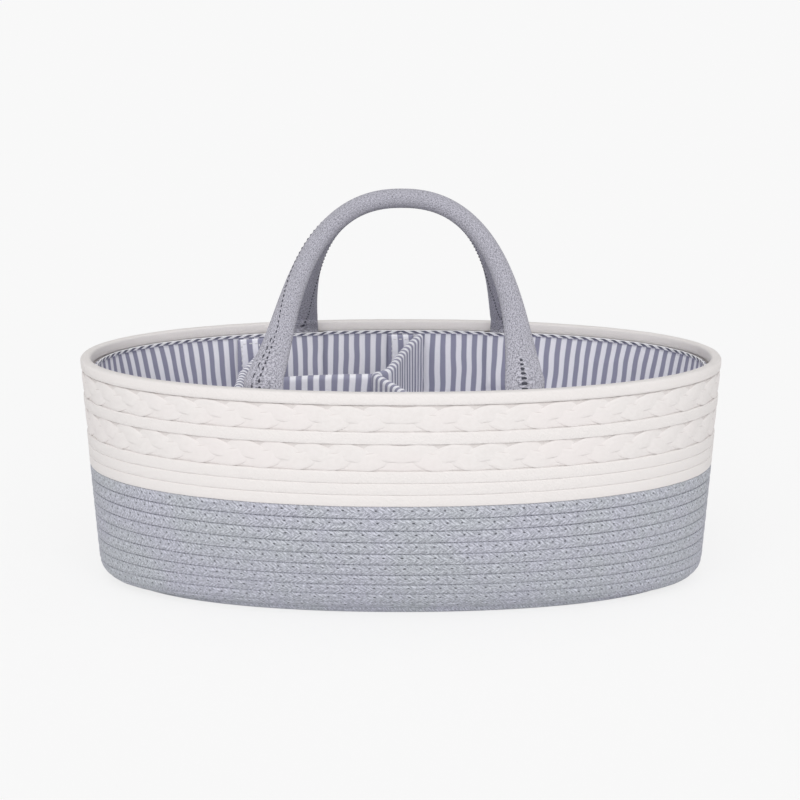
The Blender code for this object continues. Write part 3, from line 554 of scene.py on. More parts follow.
def rope_finish(name, pale, dark, yarn_gap_shade, speckle, tint, holes):
    """A braided rope: slanting yarns in chevrons, heather specks, rows of needle holes, painted
    shade in gaps and holes.
    """
    finish = Finish(name, 0.92, sheen=0.12)
    along, around = finish.own_uv()
    slant = finish.plus(along, finish.times(finish.maths("ABSOLUTE", around), YARN_SLANT))
    yarn = finish.maths("FRACT", finish.maths("DIVIDE", slant, YARN_WIDTH))
    yarn = finish.maths("ABSOLUTE", finish.minus(yarn, 0.5))
    yarn = finish.remap(yarn, 0.0, 0.30, 1.0, 0.0)
    fine = finish.noise(finish.vector(along, around), 2300.0, 2.0, 0.7)
    along_yarn = finish.vector(slant, finish.times(around, 0.45))
    specks = finish.remap(finish.noise(along_yarn, 1300.0, 2.0, 0.75), 0.40, 0.60)
    patches = finish.remap(finish.noise(finish.place(), 26.0, 3.0), 0.35, 0.65)
    base = finish.stain(pale, specks, speckle, dark)
    base = finish.stain(base, finish.remap(fine, 0.35, 0.65), speckle * 0.5, dark)
    # Painted shade: the gaps between the yarns are darkened towards the dark colour.
    base = finish.stain(base, yarn, yarn_gap_shade, dark)
    base = finish.blend(finish.times(patches, tint), base, WARM_TINT, "MULTIPLY")
    height = finish.minus(finish.times(specks, -0.35), finish.times(yarn, yarn_gap_shade * 1.6))
    for row in HOLE_ROWS if holes else ():
        hole, depth = needle_holes(finish, along, around, row), row[2]
        # Painted shade: each needle hole is darkened towards a third of the dark colour, beside its
        # dent.
        base = finish.stain(base, hole, holes * depth, tuple(v * 0.30 for v in dark))
        height = finish.minus(height, finish.times(hole, 1.2 * depth))
    finish.relief(height, 0.55, 0.0005)
    return finish.colour(base)


GREY_YARN, DARK_YARN = (0.72, 0.725, 0.82), (0.17, 0.175, 0.21)
CREAM_YARN, CREAM_SHADE = (0.80, 0.766, 0.752), (0.75, 0.712, 0.70)
WARM_TINT = (0.95, 1.0, 0.90)
# Painted shade strengths: 0.32 between the grey yarns and 0.9 in its needle holes; 0.12 between the
# cream yarns, which have no holes.
GREY_ROPE = rope_finish("heather_grey_rope", GREY_YARN, DARK_YARN, 0.32, 0.66, 0.5, 0.9)
CREAM_ROPE = rope_finish("cream_cotton_rope", CREAM_YARN, CREAM_SHADE, 0.12, 0.30, 0.0, 0.0)
print("ropes:", GREY_ROPE.name, CREAM_ROPE.name)

# %% [markdown]
# ## Winding the rope wall
# The real wall is one rope wound round and round, each row sewn to the last. Modelled closed rings
# would be wrong, so each colour is one long tube that climbs to the next row along a short stretch
# at the back. Its ends are squeezed to wedges there, under the first climb and over the last one,
# which keeps both edges of the coil level, and a single row's ends meet in such a slanting joint.
# The tube's section is placed straight in the wall's own measures, across the row and in from the
# outside, so rows touch everywhere, however the oval curves. The section is much squarer than a
# circle, because sewn rope flattens against its neighbours, and the soft cream rope is pressed
# flatter than the grey one, so that its rows are parted by a hairline only.

# %% Winding the rope wall
STACK = {"rim": CREAM_PITCH, "upper": 0.0146, "middle": CREAM_PITCH, "lower": 0.0154}
CREAM_ROWS = 3
UPPER_TOP = STACK["rim"]
MIDDLE_TOP = UPPER_TOP + STACK["upper"]
LOWER_TOP = MIDDLE_TOP + STACK["middle"]
CREAM_TOP = LOWER_TOP + STACK["lower"]
GREY_TOP = CREAM_TOP + CREAM_ROWS * CREAM_PITCH
GREY_LOOPS = 11
GREY_LOWEST = GREY_TOP + GREY_PITCH * (GREY_LOOPS - 0.5)
CLIMB_END, CLIMB = math.radians(105), 15 / 360
ROW_JOINT, JOINT_CLIMB = math.radians(111), 5 / 360
WEDGE_TIP, WEDGE_SUNK, UNEVEN_ROPE = 0.03, 0.4, 0.018
ROPE_STEP, ROPE_SIDES, OUTER_FACE = 0.0028, 20, 0.25
GREY_POWER, CREAM_POWER, RIM_POWER = 5.0, 8.0, 4.0
GREY_PRESS, CREAM_PRESS = 1.004, 1.03


def climbing(gone, rows, climb):
    """Lower and upper edge, in rows, of a rope that climbs a row in the last part of each turn."""
    at = np.floor(gone) + smooth((gone % 1.0 - (1 - climb)) / climb)
    return np.maximum(at - 0.5, -0.5), np.minimum(at + 0.5, rows - 0.5)


def winding(name, lowest, pitch, loops, across, power, press):
    """One unbroken rope from its lowest row up, squeezed to a wedge at both of its ends."""
    end, climb = (ROW_JOINT, JOINT_CLIMB) if loops == 1 else (CLIMB_END, CLIMB)
    length = round_lengths(lowest)[1][-1] * (loops + climb)

    def place(u, v):
        gone = u * (loops + climb) - climb
        low, high = climbing(gone, loops, climb)
        share = np.clip(high - low, WEDGE_TIP, 1)
        across_share, out_share = oval_section(v, power)
        full = 1 + UNEVEN_ROPE * wave(u * length * 9, lowest * 900)
        half = pitch / 2 * press
        down = lowest - (low + high) / 2 * pitch - across_share * half * share * full
        thick = across / 2 * (1 - WEDGE_SUNK * (1 - share) ** 4)
        return wall(end + gone * 2 * math.pi, down, across / 2 - out_share * thick * full)

    obj = lay(name + "_winding", int(length / ROPE_STEP), ROPE_SIDES, place, (length, 1.0))
    rope_uv(obj, pitch, across, power, OUTER_FACE)
    print(obj.name, round(length, 2), "m long,", len(obj.data.polygons), "faces")
    return obj


dress(winding("grey_wall_rope", GREY_LOWEST, GREY_PITCH, GREY_LOOPS, GREY_ACROSS, GREY_POWER,
              GREY_PRESS), GREY_ROPE, "basket", "grey_rope", "grey_wall_rope")
for name, lowest, loops, power in (
        ("cream_lower_rope", GREY_TOP - CREAM_PITCH / 2, CREAM_ROWS, CREAM_POWER),
        ("cream_middle_rope", LOWER_TOP - CREAM_PITCH / 2, 1, CREAM_POWER),
        ("rim_rope", CREAM_ACROSS / 2, 1, RIM_POWER)):
    dress(winding(name, lowest, CREAM_PITCH, loops, CREAM_ACROSS, power, CREAM_PRESS),
          CREAM_ROPE, "basket", "cream_rope", name)

# %% [markdown]
# ## Plaited bands
# Two bands of the wall are flat three-strand plaits. Seen end on, each strand of a plait draws a
# figure of eight: it swings from edge to edge once while it goes over and under twice. One sine
# for the swing and one of double speed for the depth give exactly that, and three strands a third
# of a turn apart fill the band. The soft strands are pressed so flat that only fine creases show
# between them, so they are wide, cross at little depth and have a filled band behind. The lobes
# point away from the middle of the front on both sides, so the plait is mirrored there, and the
# swing is eased where it turns back.

# %% Brushed cotton for the plaits
STRAND_GIRTH, CREASE_FROM, CREASE_TO = 0.021, 0.155, 0.195
STRAND_PALE, STRAND_SHADE = (0.765, 0.732, 0.720), (0.738, 0.704, 0.69)
# The last colour here is the painted shade along the creases between strands.
STRAND_PATCH, STRAND_CREASE_SHADE = (0.77, 0.72, 0.712), (0.58, 0.54, 0.525)


def cotton_strand_finish():
    """Soft brushed cotton: fine fibres along the strand, faint warm patches, painted shade at the
    edges.
    """
    finish = Finish("brushed_cotton_strand", 0.95, sheen=0.15)
    along, around = finish.own_uv()
    fibres = finish.vector(finish.times(along, 0.35), around)
    fibres = finish.noise(fibres, 900.0, 3.0, 0.6)
    fluff = finish.noise(finish.place(), 420.0, 3.0, 0.6)
    patches = finish.remap(finish.noise(finish.place(), 18.0, 2.0), 0.4, 0.65)
    base = finish.blend(finish.remap(fibres, 0.35, 0.7), STRAND_PALE, STRAND_SHADE)
    base = finish.stain(base, patches, 0.5, STRAND_PATCH)
    # Painted shade: a narrow darker line along both edges of each strand, in the creases between
    # them.
    turned = finish.maths("DIVIDE", around, STRAND_GIRTH)
    from_face = finish.maths("ABSOLUTE", finish.minus(turned, 0.25))
    crease_shade = finish.remap(from_face, CREASE_FROM, CREASE_TO)
    base = finish.stain(base, crease_shade, 0.5, STRAND_CREASE_SHADE)
    finish.relief(finish.plus(finish.times(fibres, 0.7), finish.times(fluff, 0.5)), 0.30, 0.0005)
    return finish.colour(base)


COTTON_STRAND = cotton_strand_finish()
print("plait finish:", COTTON_STRAND.name)

# %% [markdown]
# ## Laying the plaits
# Each strand is a tube laid by the two sines, and the backing is a thin band behind the three. A
# picture of a plait on a flat band would give no soft shadows between the lobes, so the strands are
# real. The four are joined into one piece, because a plait is sewn on as one tape.

# %% Laying the plaits
STRAND_HALF, STRAND_SWING, STRAND_DEPTH, STRAND_SWELL = 0.0051, 0.0027, 0.0005, 0.0011
STRAND_POWER, STRAND_INSET, STRAND_STEPS, STRAND_SIDES = 3.4, 0.0017, 30, 22
PLAIT_TURNS, PLAIT_EASE, PLAIT_FULL, LOBE_SHARE, STRAND_UNEVEN = 8, 0.006, 0.0154, 0.15, 0.03
BACKING_INSET, BACKING_HALF, BACKING_THICK, BACKING_OVER = 0.0032, 0.0021, 0.0018, 0.0003


def plait_phase(gone, round_length):
    """How far the plait has turned at a length round the wall, mirrored at front and back."""
    half = round_length / 2
    from_front = np.minimum(gone, round_length - gone)
    quarter = math.hypot(half / 2, PLAIT_EASE) - PLAIT_EASE
    near = np.hypot(from_front, PLAIT_EASE) - PLAIT_EASE
    far = 2 * quarter - (np.hypot(half - from_front, PLAIT_EASE) - PLAIT_EASE)
    eased = np.where(from_front < half / 2, near, far)
    return eased / (2 * quarter) * PLAIT_TURNS * 2 * math.pi


def plait(name, top, height):
    """Three strands that swing from edge to edge over a flat band, over and under each other."""
    turns, lengths = round_lengths(top + height / 2)
    long, scale = lengths[-1], height / PLAIT_FULL
    strands = []
    for k in range(3):
        def place(u, v, k=k):
            gone = u * long
            swing = -math.pi / 2 + k * 2 * math.pi / 3 + plait_phase(gone, long)
            sweep = (np.sin(swing) + LOBE_SHARE * np.sin(3 * swing)) / (1 - LOBE_SHARE)
            half = STRAND_HALF * (1 + STRAND_UNEVEN * wave(gone * 60, k + top * 500))
            a, o = oval_section(v, STRAND_POWER)
            down = top + height / 2 - (sweep * STRAND_SWING + a * half) * scale
            inset = STRAND_INSET - np.sin(2 * swing) * STRAND_DEPTH - o * STRAND_SWELL
            return wall(np.interp(gone, lengths, turns), down, inset)

        strands.append(lay(f"{name}_strand_{k}", PLAIT_TURNS * 2 * STRAND_STEPS, STRAND_SIDES,
                           place, (long, STRAND_GIRTH)))

    def backing(u, v):
        share, face = band_section(v, height, BACKING_THICK)
        down = top - BACKING_OVER + share * (height + 2 * BACKING_OVER)
        return wall(np.interp(u * long, lengths, turns), down, BACKING_INSET - face * BACKING_HALF)

    strands.append(lay(name + "_backing", 360, 28, backing, (long, STRAND_GIRTH * 0.5)))
    obj = join(name + "_plait", strands)
    print(obj.name, round(long / PLAIT_TURNS / 2 * 1000, 1), "mm a turn,",
          len(obj.data.polygons), "faces")
    return dress(obj, COTTON_STRAND, "basket", "cream_rope", name)


plait("upper_braid", UPPER_TOP, STACK["upper"])
plait("lower_braid", LOWER_TOP, STACK["lower"])

# %% [markdown]
# ## Zigzag thread in the grooves
# A zigzag machine seam joins each rope row to the next: the thread dives into one row, crosses the
# groove and dives into the other. Only the crossings show, down in the groove. One thin tube for
# each groove, bent to and fro, makes them. Its ends lie inside the rope, as the needle leaves them.

# %% Zigzag thread in the grooves
THREAD_STEP, THREAD_ACROSS, THREAD_GIRTH = 0.0027, 0.0006, 0.0019
THREAD_INSET, THREAD_BOW, PLY = 0.0007, 0.0004, 9000.0
GREY_REACH, CREAM_REACH, THREAD_SHIFT = 0.0013, 0.0014, 0.37


def thread_finish(name, colour):
    """Twisted thread: slanting plies, a little darker in the turns."""
    finish = Finish(name, 0.7)
    along, around = finish.own_uv()
    ply = finish.maths("SINE", finish.times(finish.plus(along, around), PLY))
    finish.relief(ply, 0.4, 0.0002)
    shade = tuple(v * 0.8 for v in colour)
    return finish.colour(finish.blend(finish.remap(ply, -1.0, 1.0), colour, shade))


GREY_THREAD = thread_finish("grey_sewing_thread", DARK_YARN)
WHITE_THREAD = thread_finish("white_sewing_thread", (0.86, 0.84, 0.83))


def zigzag(name, grooves, reach, material, slot):
    """A thread for each groove, bent to and fro across it; each groove comes with its climb."""
    rows = []
    for n, (groove, rise) in enumerate(grooves):
        turns, lengths = round_lengths(groove)
        count = int(lengths[-1] / THREAD_STEP / 2) * 2
        first = np.interp(CLIMB_END, turns, lengths)

        def place(u, v, groove=groove, turns=turns, lengths=lengths, count=count, n=n):
            step = u * count + n * THREAD_SHIFT
            side = 1 - 2 * np.abs((step / 2) % 1.0 * 2 - 1)
            a, o = oval_section(v, 2.0)
            turn = np.interp((u * 0.9999 * lengths[-1] + first) % lengths[-1], lengths, turns)
            part = (turn - CLIMB_END) / (2 * math.pi) % 1.0
            middle = groove - rise * smooth((part - (1 - CLIMB)) / CLIMB)
            down = middle + side * reach + a * THREAD_ACROSS / 2
            inset = THREAD_INSET + THREAD_BOW * (1 - np.abs(side)) - o * THREAD_ACROSS / 2
            return wall(turn, down, inset)

        rows.append(lay(f"{name}_{n}", count * 2, 5, place, (lengths[-1], THREAD_GIRTH)))
    return dress(join(name, rows), material, "basket", slot)


grey_grooves = [(GREY_TOP + GREY_PITCH * k, GREY_PITCH) for k in range(1, GREY_LOOPS - 1)]
grey_thread = zigzag("grey_wall_thread", [(GREY_TOP, 0.0)] + grey_grooves, GREY_REACH,
                     GREY_THREAD, "grey_rope")
cream_grooves = [(CREAM_TOP + CREAM_PITCH * k, CREAM_PITCH) for k in (1, 2)]
cream_thread = zigzag("cream_wall_thread", cream_grooves, CREAM_REACH, WHITE_THREAD,
                      "cream_rope")
print("threads:", len(grey_thread.data.polygons) + len(cream_thread.data.polygons), "faces")

# %% [markdown]
# ## The rope base
# The base is the same rope laid flat in an oval spiral round a straight middle row. Between that
# middle line and the outer oval each turn keeps its share of the way out, and the tube is narrowed
# by the same share, so the turns touch everywhere. It mostly shows from below.

# %% The rope base
BASE_THICKNESS, BASE_ROW, BASE_TURNS, BASE_POWER = 0.0070, 0.0078, 9, 3.4
BASE_DRAWN_IN, LOWER_FACE, SPIRAL_STEPS = 0.0004, 0.75, 12000
BASE_CLIMB, BASE_CLIMB_END = 60 / 360, math.radians(120)


def spiral_line():
    """The spiral's length so far, its middle, its way outwards and its half width."""
    gone = np.linspace(-BASE_CLIMB, BASE_TURNS, SPIRAL_STEPS)
    low, high = climbing(gone, BASE_TURNS, BASE_CLIMB)
    turn = BASE_CLIMB_END + gone * 2 * math.pi
    edge = wall(turn, GREY_LOWEST, WALL_MIDDLE)[:, :2]
    level = edge - wall(turn, GREY_LOWEST - 0.03, WALL_MIDDLE + 0.01)[:, :2]
    level /= np.linalg.norm(level, axis=1)[:, None]
    edge = edge - level * (WALL_MIDDLE + BASE_DRAWN_IN)
    straight = edge[:, 0].max() - np.abs(edge[:, 1]).max()
    core = np.stack([np.clip(edge[:, 0], -straight, straight), np.zeros(len(edge))], axis=1)
    out = edge - core
    share = (0.5 + (low + high) / 2) / BASE_TURNS
    line = core + out * share[:, None]
    reach = np.linalg.norm(out, axis=1)
    run = np.concatenate([[0.0], np.cumsum(np.linalg.norm(np.diff(line, axis=0), axis=1))])
    half = reach / BASE_TURNS / 2 * np.clip(high - low, WEDGE_TIP, 1)
    return run, line, out / reach[:, None], half


RUN, LINE, OUTWARD, HALF = spiral_line()


def base_place(u, v):
    at = u * RUN[-1]
    a, o = oval_section(v, BASE_POWER)
    half = np.interp(at, RUN, HALF) * a
    x, y = (np.interp(at, RUN, LINE[:, k]) + np.interp(at, RUN, OUTWARD[:, k]) * half
            for k in (0, 1))
    return np.stack([x, y, BASE_THICKNESS / 2 * (1 + o)], axis=-1)


base = lay("base_rope_spiral", 2400, 16, base_place, (RUN[-1], 1.0))
rope_uv(base, BASE_ROW, BASE_THICKNESS, BASE_POWER, LOWER_FACE)
dress(base, GREY_ROPE, "basket", "grey_rope", "base_coil")
print("base rope", round(RUN[-1], 2), "m,", [round(v, 4) for v in base.dimensions])

# %% [markdown]
# ## Striped cloth
# The lining is a yarn-dyed stripe: bands of dark lavender grey and of pale cloth, half and half.
# The stripes run up the wall, so they come from the length along each strip. A fine plain weave
# and a slight unevenness of the dye keep them from looking printed.

# %% Striped cloth
STRIPE_PITCH, STRIPE_COUNT, DYE_DRIFT = 0.00725, 132, 0.0058
DARK_STRIPE, PALE_STRIPE = (0.30, 0.30, 0.41), (0.95, 0.945, 1.0)


def striped_finish(name):
    """Yarn-dyed stripes across a strip's length, with a fine plain weave."""
    finish = Finish(name, 0.9, sheen=0.1)
    along, across = finish.own_uv()
    drift = finish.times(finish.noise(finish.place(), 20.0, 2.0), DYE_DRIFT)
    band = stripes_along(finish, finish.plus(along, drift), STRIPE_PITCH, 0.10)
    weave = weave_of(finish, along, across, 0.00045)
    fibres = finish.vector(along, finish.times(across, 0.15))
    fibres = finish.noise(fibres, 2600.0, 2.0, 0.7)
    base = finish.blend(band, PALE_STRIPE, DARK_STRIPE)
    base = finish.stain(base, finish.remap(fibres, 0.3, 0.7), 0.07, DARK_STRIPE)
    base = finish.stain(base, weave, 0.08, PALE_STRIPE)
    finish.relief(finish.plus(weave, finish.times(fibres, 0.5)), 0.15, 0.0003)
    return finish.colour(base)


STRIPED = striped_finish("striped_lining_cloth")
PANEL_STRIPED = striped_finish("striped_divider_cloth")
print("stripes:", STRIPE_COUNT, "round the lining,", round(STRIPE_COUNT * STRIPE_PITCH, 3), "m")

# %% [markdown]
# ## Hem cloth and seam threads
# Along the top the same cloth is rolled and sewn over and over. Up close that is a row of
# short dark dashes that lean, with white thread above them. They could be modelled one by one, but
# there are hundreds, each under a millimetre, so the hem's finish draws them: below, the stripes
# run straight on from the lining, and further up they lean and turn into thread.

# %% Hem cloth and seam threads
HEM_HEIGHT, HEM_THICKNESS, HEM_LEAN = 0.0022, 0.0008, 3.4
HEM_DASH, HEM_DASH_GAP, HEM_THREAD = (0.10, 0.10, 0.15), (0.90, 0.90, 0.92), (0.86, 0.86, 0.88)


def hem_finish():
    """The rolled edge: stripes that run on from the lining and lean, dark and white thread."""
    finish = Finish("rolled_hem_cloth", 0.9, sheen=0.1)
    along, across = finish.own_uv()
    from_foot = finish.maths("ABSOLUTE", finish.minus(across, HEM_HEIGHT))
    up = finish.maths("MAXIMUM", finish.minus(from_foot, HEM_HEIGHT * 0.30), 0.0)
    leaning = finish.plus(along, finish.times(up, HEM_LEAN))
    band = stripes_along(finish, leaning, STRIPE_PITCH, 0.08)
    over = finish.remap(up, 0.0, 0.0002)
    thread = finish.remap(up, 0.0009, 0.0011)
    dark = finish.blend(thread, finish.blend(over, DARK_STRIPE, HEM_DASH), HEM_THREAD)
    pale = finish.blend(over, PALE_STRIPE, HEM_DASH_GAP)
    fibres = finish.noise(finish.vector(along, across), 2400.0, 2.0, 0.7)
    base = finish.stain(finish.blend(band, pale, dark), finish.remap(fibres, 0.3, 0.7), 0.2, dark)
    finish.relief(fibres, 0.3, 0.0003)
    return finish.colour(base)


HEM_CLOTH = hem_finish()
STITCH_WHITE = thread_finish("white_seam_thread", (0.88, 0.88, 0.90))
STITCH_DARK = thread_finish("dark_seam_thread", (0.07, 0.07, 0.09))
print("hem and threads:", HEM_CLOTH.name, STITCH_WHITE.name, STITCH_DARK.name)

# %% [markdown]
# ## The lining
# The lining is a tube of striped cloth, a little shorter than the wall, with an oval floor sewn in.
# It hangs from the rim row, passes over the flat feet of the handles, which lift it slightly, and
# turns in at the floor. It could be a simulated cloth, but it is sewn tight to the rope, so one
# closed strip laid on the inside of the wall follows it exactly. Near both ends the stripes lean a
# little with depth, because the cloth is taken in there, and its UV map is shifted to show that.

# %% The lining
LINING_OUTER, LINING_THICKNESS, LINING_TOP = 0.0074, 0.0014, 0.0056
LINING_EDGE, LINING_END, LINING_SLACK, SLACK_FROM = 0.0006, 0.00012, 0.00012, 0.02
LINING_DEEP, LINING_GIRTH_AT = 0.14, 0.05
FOOT_STAND, FOOT_HALF, FOOT_MARGIN, FOOT_EASE = 0.0033, 0.0109, 0.0045, 0.0030
FOOT_CLOTH_LOW, FOOT_CLOTH_EASE = 0.0912, 0.0040
FRONT_SPAN, BACK_SPAN = 0.0718, 0.0666
FRONT_SHIFT, BACK_SHIFT = -0.0037, 0.0022
FEET = [(-1, FRONT_SHIFT - FRONT_SPAN), (-1, FRONT_SHIFT + FRONT_SPAN),
        (1, BACK_SHIFT - BACK_SPAN), (1, BACK_SHIFT + BACK_SPAN)]
LEAN, LEAN_DEPTH = 0.60, 0.040


def foot_lift(turn, down):
    """How far the lining stands in over the feet of the handles."""
    spot = wall(turn, down, LINING_OUTER)
    lift = np.zeros(spot.shape[:-1])
    for side, middle in FEET:
        near = smooth((FOOT_HALF + FOOT_MARGIN - np.abs(spot[..., 0] - middle)) / FOOT_EASE)
        lift = np.maximum(lift, near * (spot[..., 1] * side > 0))
    return lift * smooth((spot[..., 2] - FOOT_CLOTH_LOW) / FOOT_CLOTH_EASE) * FOOT_STAND


def lining_point(turn, down, inset):
    """A place on the wall, moved in where a foot lies behind the cloth."""
    return wall(turn, down, inset + foot_lift(turn, down))


def lean_stripes(obj):
    """Shift the stripes with depth near both ends: the cloth tapers there, towards the floor."""
    x, y, z = corner_places(obj).T
    x, y = x / RIM_HALF[0], y / RIM_HALF[1]
    lean = -2 * x * y * np.abs(x) ** 3 * LEAN
    uv = read_uv(obj)
    uv[:, 0] += lean * LEAN_DEPTH * (1 - np.exp(-(WALL_HEIGHT - LINING_TOP - z) / LEAN_DEPTH))
    write_uv(obj, uv)


def lining_side():
    """The wall cloth: a closed band as deep as the wall, lifted over the feet."""
    turns, lengths = round_lengths(LINING_GIRTH_AT)

    def place(u, v):
        turn = np.interp(u * lengths[-1], lengths, turns)
        deepest = down_at(turn, FLOOR_MIDDLE + LINING_END)
        share, face = band_section(v, LINING_DEEP, LINING_THICKNESS)
        down = LINING_TOP + LINING_EDGE + share * (deepest - LINING_TOP - 2 * LINING_EDGE)
        slack = LINING_SLACK * wave(u * 22, 1.0) * (down > SLACK_FROM)
        return lining_point(turn, down, LINING_OUTER + (1 - face) * LINING_THICKNESS / 2 + slack)

    obj = lay("lining_wall_cloth", 760, 72, place, (STRIPE_COUNT * STRIPE_PITCH, 2 * LINING_DEEP))
    lean_stripes(obj)
    return dress(obj, STRIPED, "basket", "striped_lining", "lining_side")


lining = lining_side()
print("lining:", len(lining.data.polygons), "faces")

# %% [markdown]
# ## The hem
# The hem is a thin ribbon on the lining's top edge, standing a little in front of it. It is a
# strip of its own, so that the rolled edge throws a fine shadow. On the real basket the dashes
# lean towards the back middle on both sides as they go up, so the ribbon's UV map is mirrored at
# that middle.

# %% The hem
HEM_IN, HEM_UP, HEM_RIPPLE, HEM_GIRTH_AT = 0.0003, 0.0001, 0.0001, 0.012


def lining_hem():
    """The oversewn ribbon, with its stripes counted from the back middle both ways."""
    turns, lengths = round_lengths(HEM_GIRTH_AT)

    def place(u, v):
        turn = np.interp(u * lengths[-1], lengths, turns)
        share, face = band_section(v, HEM_HEIGHT, HEM_THICKNESS)
        down = LINING_TOP - HEM_UP + share * HEM_HEIGHT + HEM_RIPPLE * wave(u * 40, 3.0)
        inset = LINING_OUTER + LINING_THICKNESS + HEM_IN + (1 - face) * HEM_THICKNESS / 2
        return lining_point(turn, down, inset)

    half = STRIPE_COUNT * STRIPE_PITCH / 2
    obj = lay("hem_ribbon", 760, 16, place, (2 * half, 2 * HEM_HEIGHT))
    uv = read_uv(obj)
    uv[:, 0] = np.abs(uv[:, 0] - half)
    write_uv(obj, uv)
    return dress(obj, HEM_CLOTH, "basket", "striped_lining", "lining_hem")


hem = lining_hem()
print("hem:", len(hem.data.polygons), "faces")

# %% [markdown]
# ## The lining's floor
# An oval of the same cloth closes the lining below. A flat disc would do for the shape, but it is
# laid as a strip here too, out from the middle on top and back below, so that it has a thickness.
# Its UV map is simply the plan in metres, so its stripes run from front to back.

# %% The lining's floor
FLOOR_CLOTH_HEIGHT, FLOOR_CLOTH_HALF, FLOOR_CLOTH_IN = 0.0080, 0.0007, 0.0035


def lining_floor():
    """The oval at the bottom, laid out from its middle on top and back again below."""
    def place(u, v):
        turn = -math.pi / 2 + u * 2 * math.pi
        deepest = down_at(turn, FLOOR_MIDDLE + LINING_END)
        edge = wall(turn, deepest - FLOOR_CLOTH_IN, LINING_OUTER)
        share = np.abs(1 - 2 * v)
        half = np.where(v < 0.5, -FLOOR_CLOTH_HALF, FLOOR_CLOTH_HALF) * smooth(share * 30)
        x, y = edge[..., 0] * (1 - share), edge[..., 1] * (1 - share)
        return np.stack([x, y, FLOOR_CLOTH_HEIGHT + half], axis=-1)

    obj = lay("lining_floor_cloth", 160, 60, place)
    write_uv(obj, corner_places(obj)[:, :2] + 0.5)
    dress(obj, STRIPED, "basket", "striped_lining", "lining_base")
    return obj


print("floor cloth:", len(lining_floor().data.polygons), "faces")

# %% [markdown]
# ## Handles
# Each handle is one long cloth tube over a soft filler rope. Its two ends are left empty and
# pressed flat, and these flat feet go down behind the lining, where they are sewn to the rope.
# The section starts as a flat band and swells to a round tube further up. When the handle folds,
# the cloth bends just above the rim.

# %% Handle cloth
HEATHER_PALE, HEATHER_DARK = (0.56, 0.55, 0.625), (0.14, 0.14, 0.17)
HEATHER_CROSS, HEATHER_SLUB = (0.57, 0.56, 0.625), (0.30, 0.30, 0.33)


def heather_finish():
    """Heather cloth: pale and dark yarns mixed in both ways of a plain weave."""
    finish = Finish("heather_handle_cloth", 0.9, sheen=0.15)
    along, across = finish.own_uv()
    weave = weave_of(finish, along, across, 0.00040)
    warp = finish.vector(finish.times(along, 0.5), across)
    warp = finish.noise(warp, 1700.0, 2.0, 0.75)
    weft = finish.vector(along, finish.times(across, 0.5))
    weft = finish.noise(weft, 1700.0, 2.0, 0.75)
    slubs = finish.noise(finish.place(), 60.0, 2.0)
    base = finish.blend(finish.remap(warp, 0.38, 0.62), HEATHER_PALE, HEATHER_DARK)
    base = finish.stain(base, finish.remap(weft, 0.40, 0.60), 0.5, HEATHER_CROSS)
    base = finish.stain(base, finish.remap(slubs, 0.45, 0.7), 0.12, HEATHER_SLUB)
    finish.relief(finish.plus(weave, finish.times(warp, 0.9)), 0.40, 0.0004)
    return finish.colour(base)


HEATHER = heather_finish()
print("handle cloth:", HEATHER.name)

# %% [markdown]
# ## The line of a handle
# Seen from the front, a handle is an arch whose legs flare out just above the rim, and seen from
# the side both handles lean together. A bezier curve could be drawn by eye, but a formula keeps
# both legs true to the CAD part: a squared arch in the handle's own leaning plane, with the
# flare added at its foot.

# %% The line of a handle
HANDLE_TOP, BACK_LOWER, HANDLE_APART = 0.2323, 0.0027, 0.0150
LEG_FLARE, FLARE_FADE, ARCH_POWER = 0.0064, 0.0250, 2.29
TOP_SHIFT, SHIFT_FADE = 0.0005, 0.0300
FOLD = (0.0860, 0.1422)


def handle_frame(side):
    """A handle's fold, its way up its own plane, its way out of it, and its rise."""
    fold = np.array([side * FOLD[0], FOLD[1]])
    top = np.array([side * HANDLE_APART / 2, HANDLE_TOP - (BACK_LOWER if side > 0 else 0.0)])
    rise = np.linalg.norm(top - fold)
    way = (top - fold) / rise
    return fold, way, np.array([-way[1], way[0]]), rise


def handle_line(side):
    """The middle line of a handle from left fold to right fold: length, x, rise and direction."""
    span, shift = (BACK_SPAN, BACK_SHIFT) if side > 0 else (FRONT_SPAN, FRONT_SHIFT)
    rise = handle_frame(side)[3]
    turn = np.linspace(math.pi, 0, 2401)
    bend = 2 / ARCH_POWER
    up = rise * np.abs(np.sin(turn)) ** bend
    up[[0, -1]] = 0.0
    level = np.sign(np.cos(turn)) * np.abs(np.cos(turn)) ** bend
    x = TOP_SHIFT + (shift - TOP_SHIFT) * np.exp(-up / SHIFT_FADE)
    x += (span - LEG_FLARE * (1 - np.exp(-up / FLARE_FADE))) * level
    step = np.hypot(np.gradient(x), np.gradient(up))
    run = np.concatenate([[0.0], np.cumsum(np.hypot(np.diff(x), np.diff(up)))])
    return run, x, up, np.gradient(x) / step, np.gradient(up) / step


FOOT_RUN = 0.050
LINES = {side: handle_line(side) for side in (-1, 1)}
LENGTHS = {side: 2 * FOOT_RUN + LINES[side][0][-1] for side in (-1, 1)}
print("handle lengths:", {side: round(float(long), 3) for side, long in LENGTHS.items()})

# %% [markdown]
# ## The surface of a handle
# Any point on a handle is found from how far along the cloth it is and where on the section. In
# the tube the section stands square to the line. In a foot it hangs flat behind the lining, and
# between the two it turns over a short way, as the cloth does at the fold. The same surface then
# carries the stitches, so they can't drift off the cloth.

# %% The surface of a handle
TUBE_ACROSS, FOOT_WIDTH, FOOT_THICKNESS = 0.0104, 0.0218, 0.0030
WIDTH_FADE, THICKNESS_FADE = 0.0335, 0.0300
FOOT_INSET, FOOT_LOWEST, WALL_TOP = 0.0089, 0.0974, 0.1380
LINE_EASE, HANG_EASE, TURN_EASE = 0.012, 0.0090, 0.014
FLAT_RUN, FLAT_EASE, END_ROUND = 0.03, 0.04, 0.0015


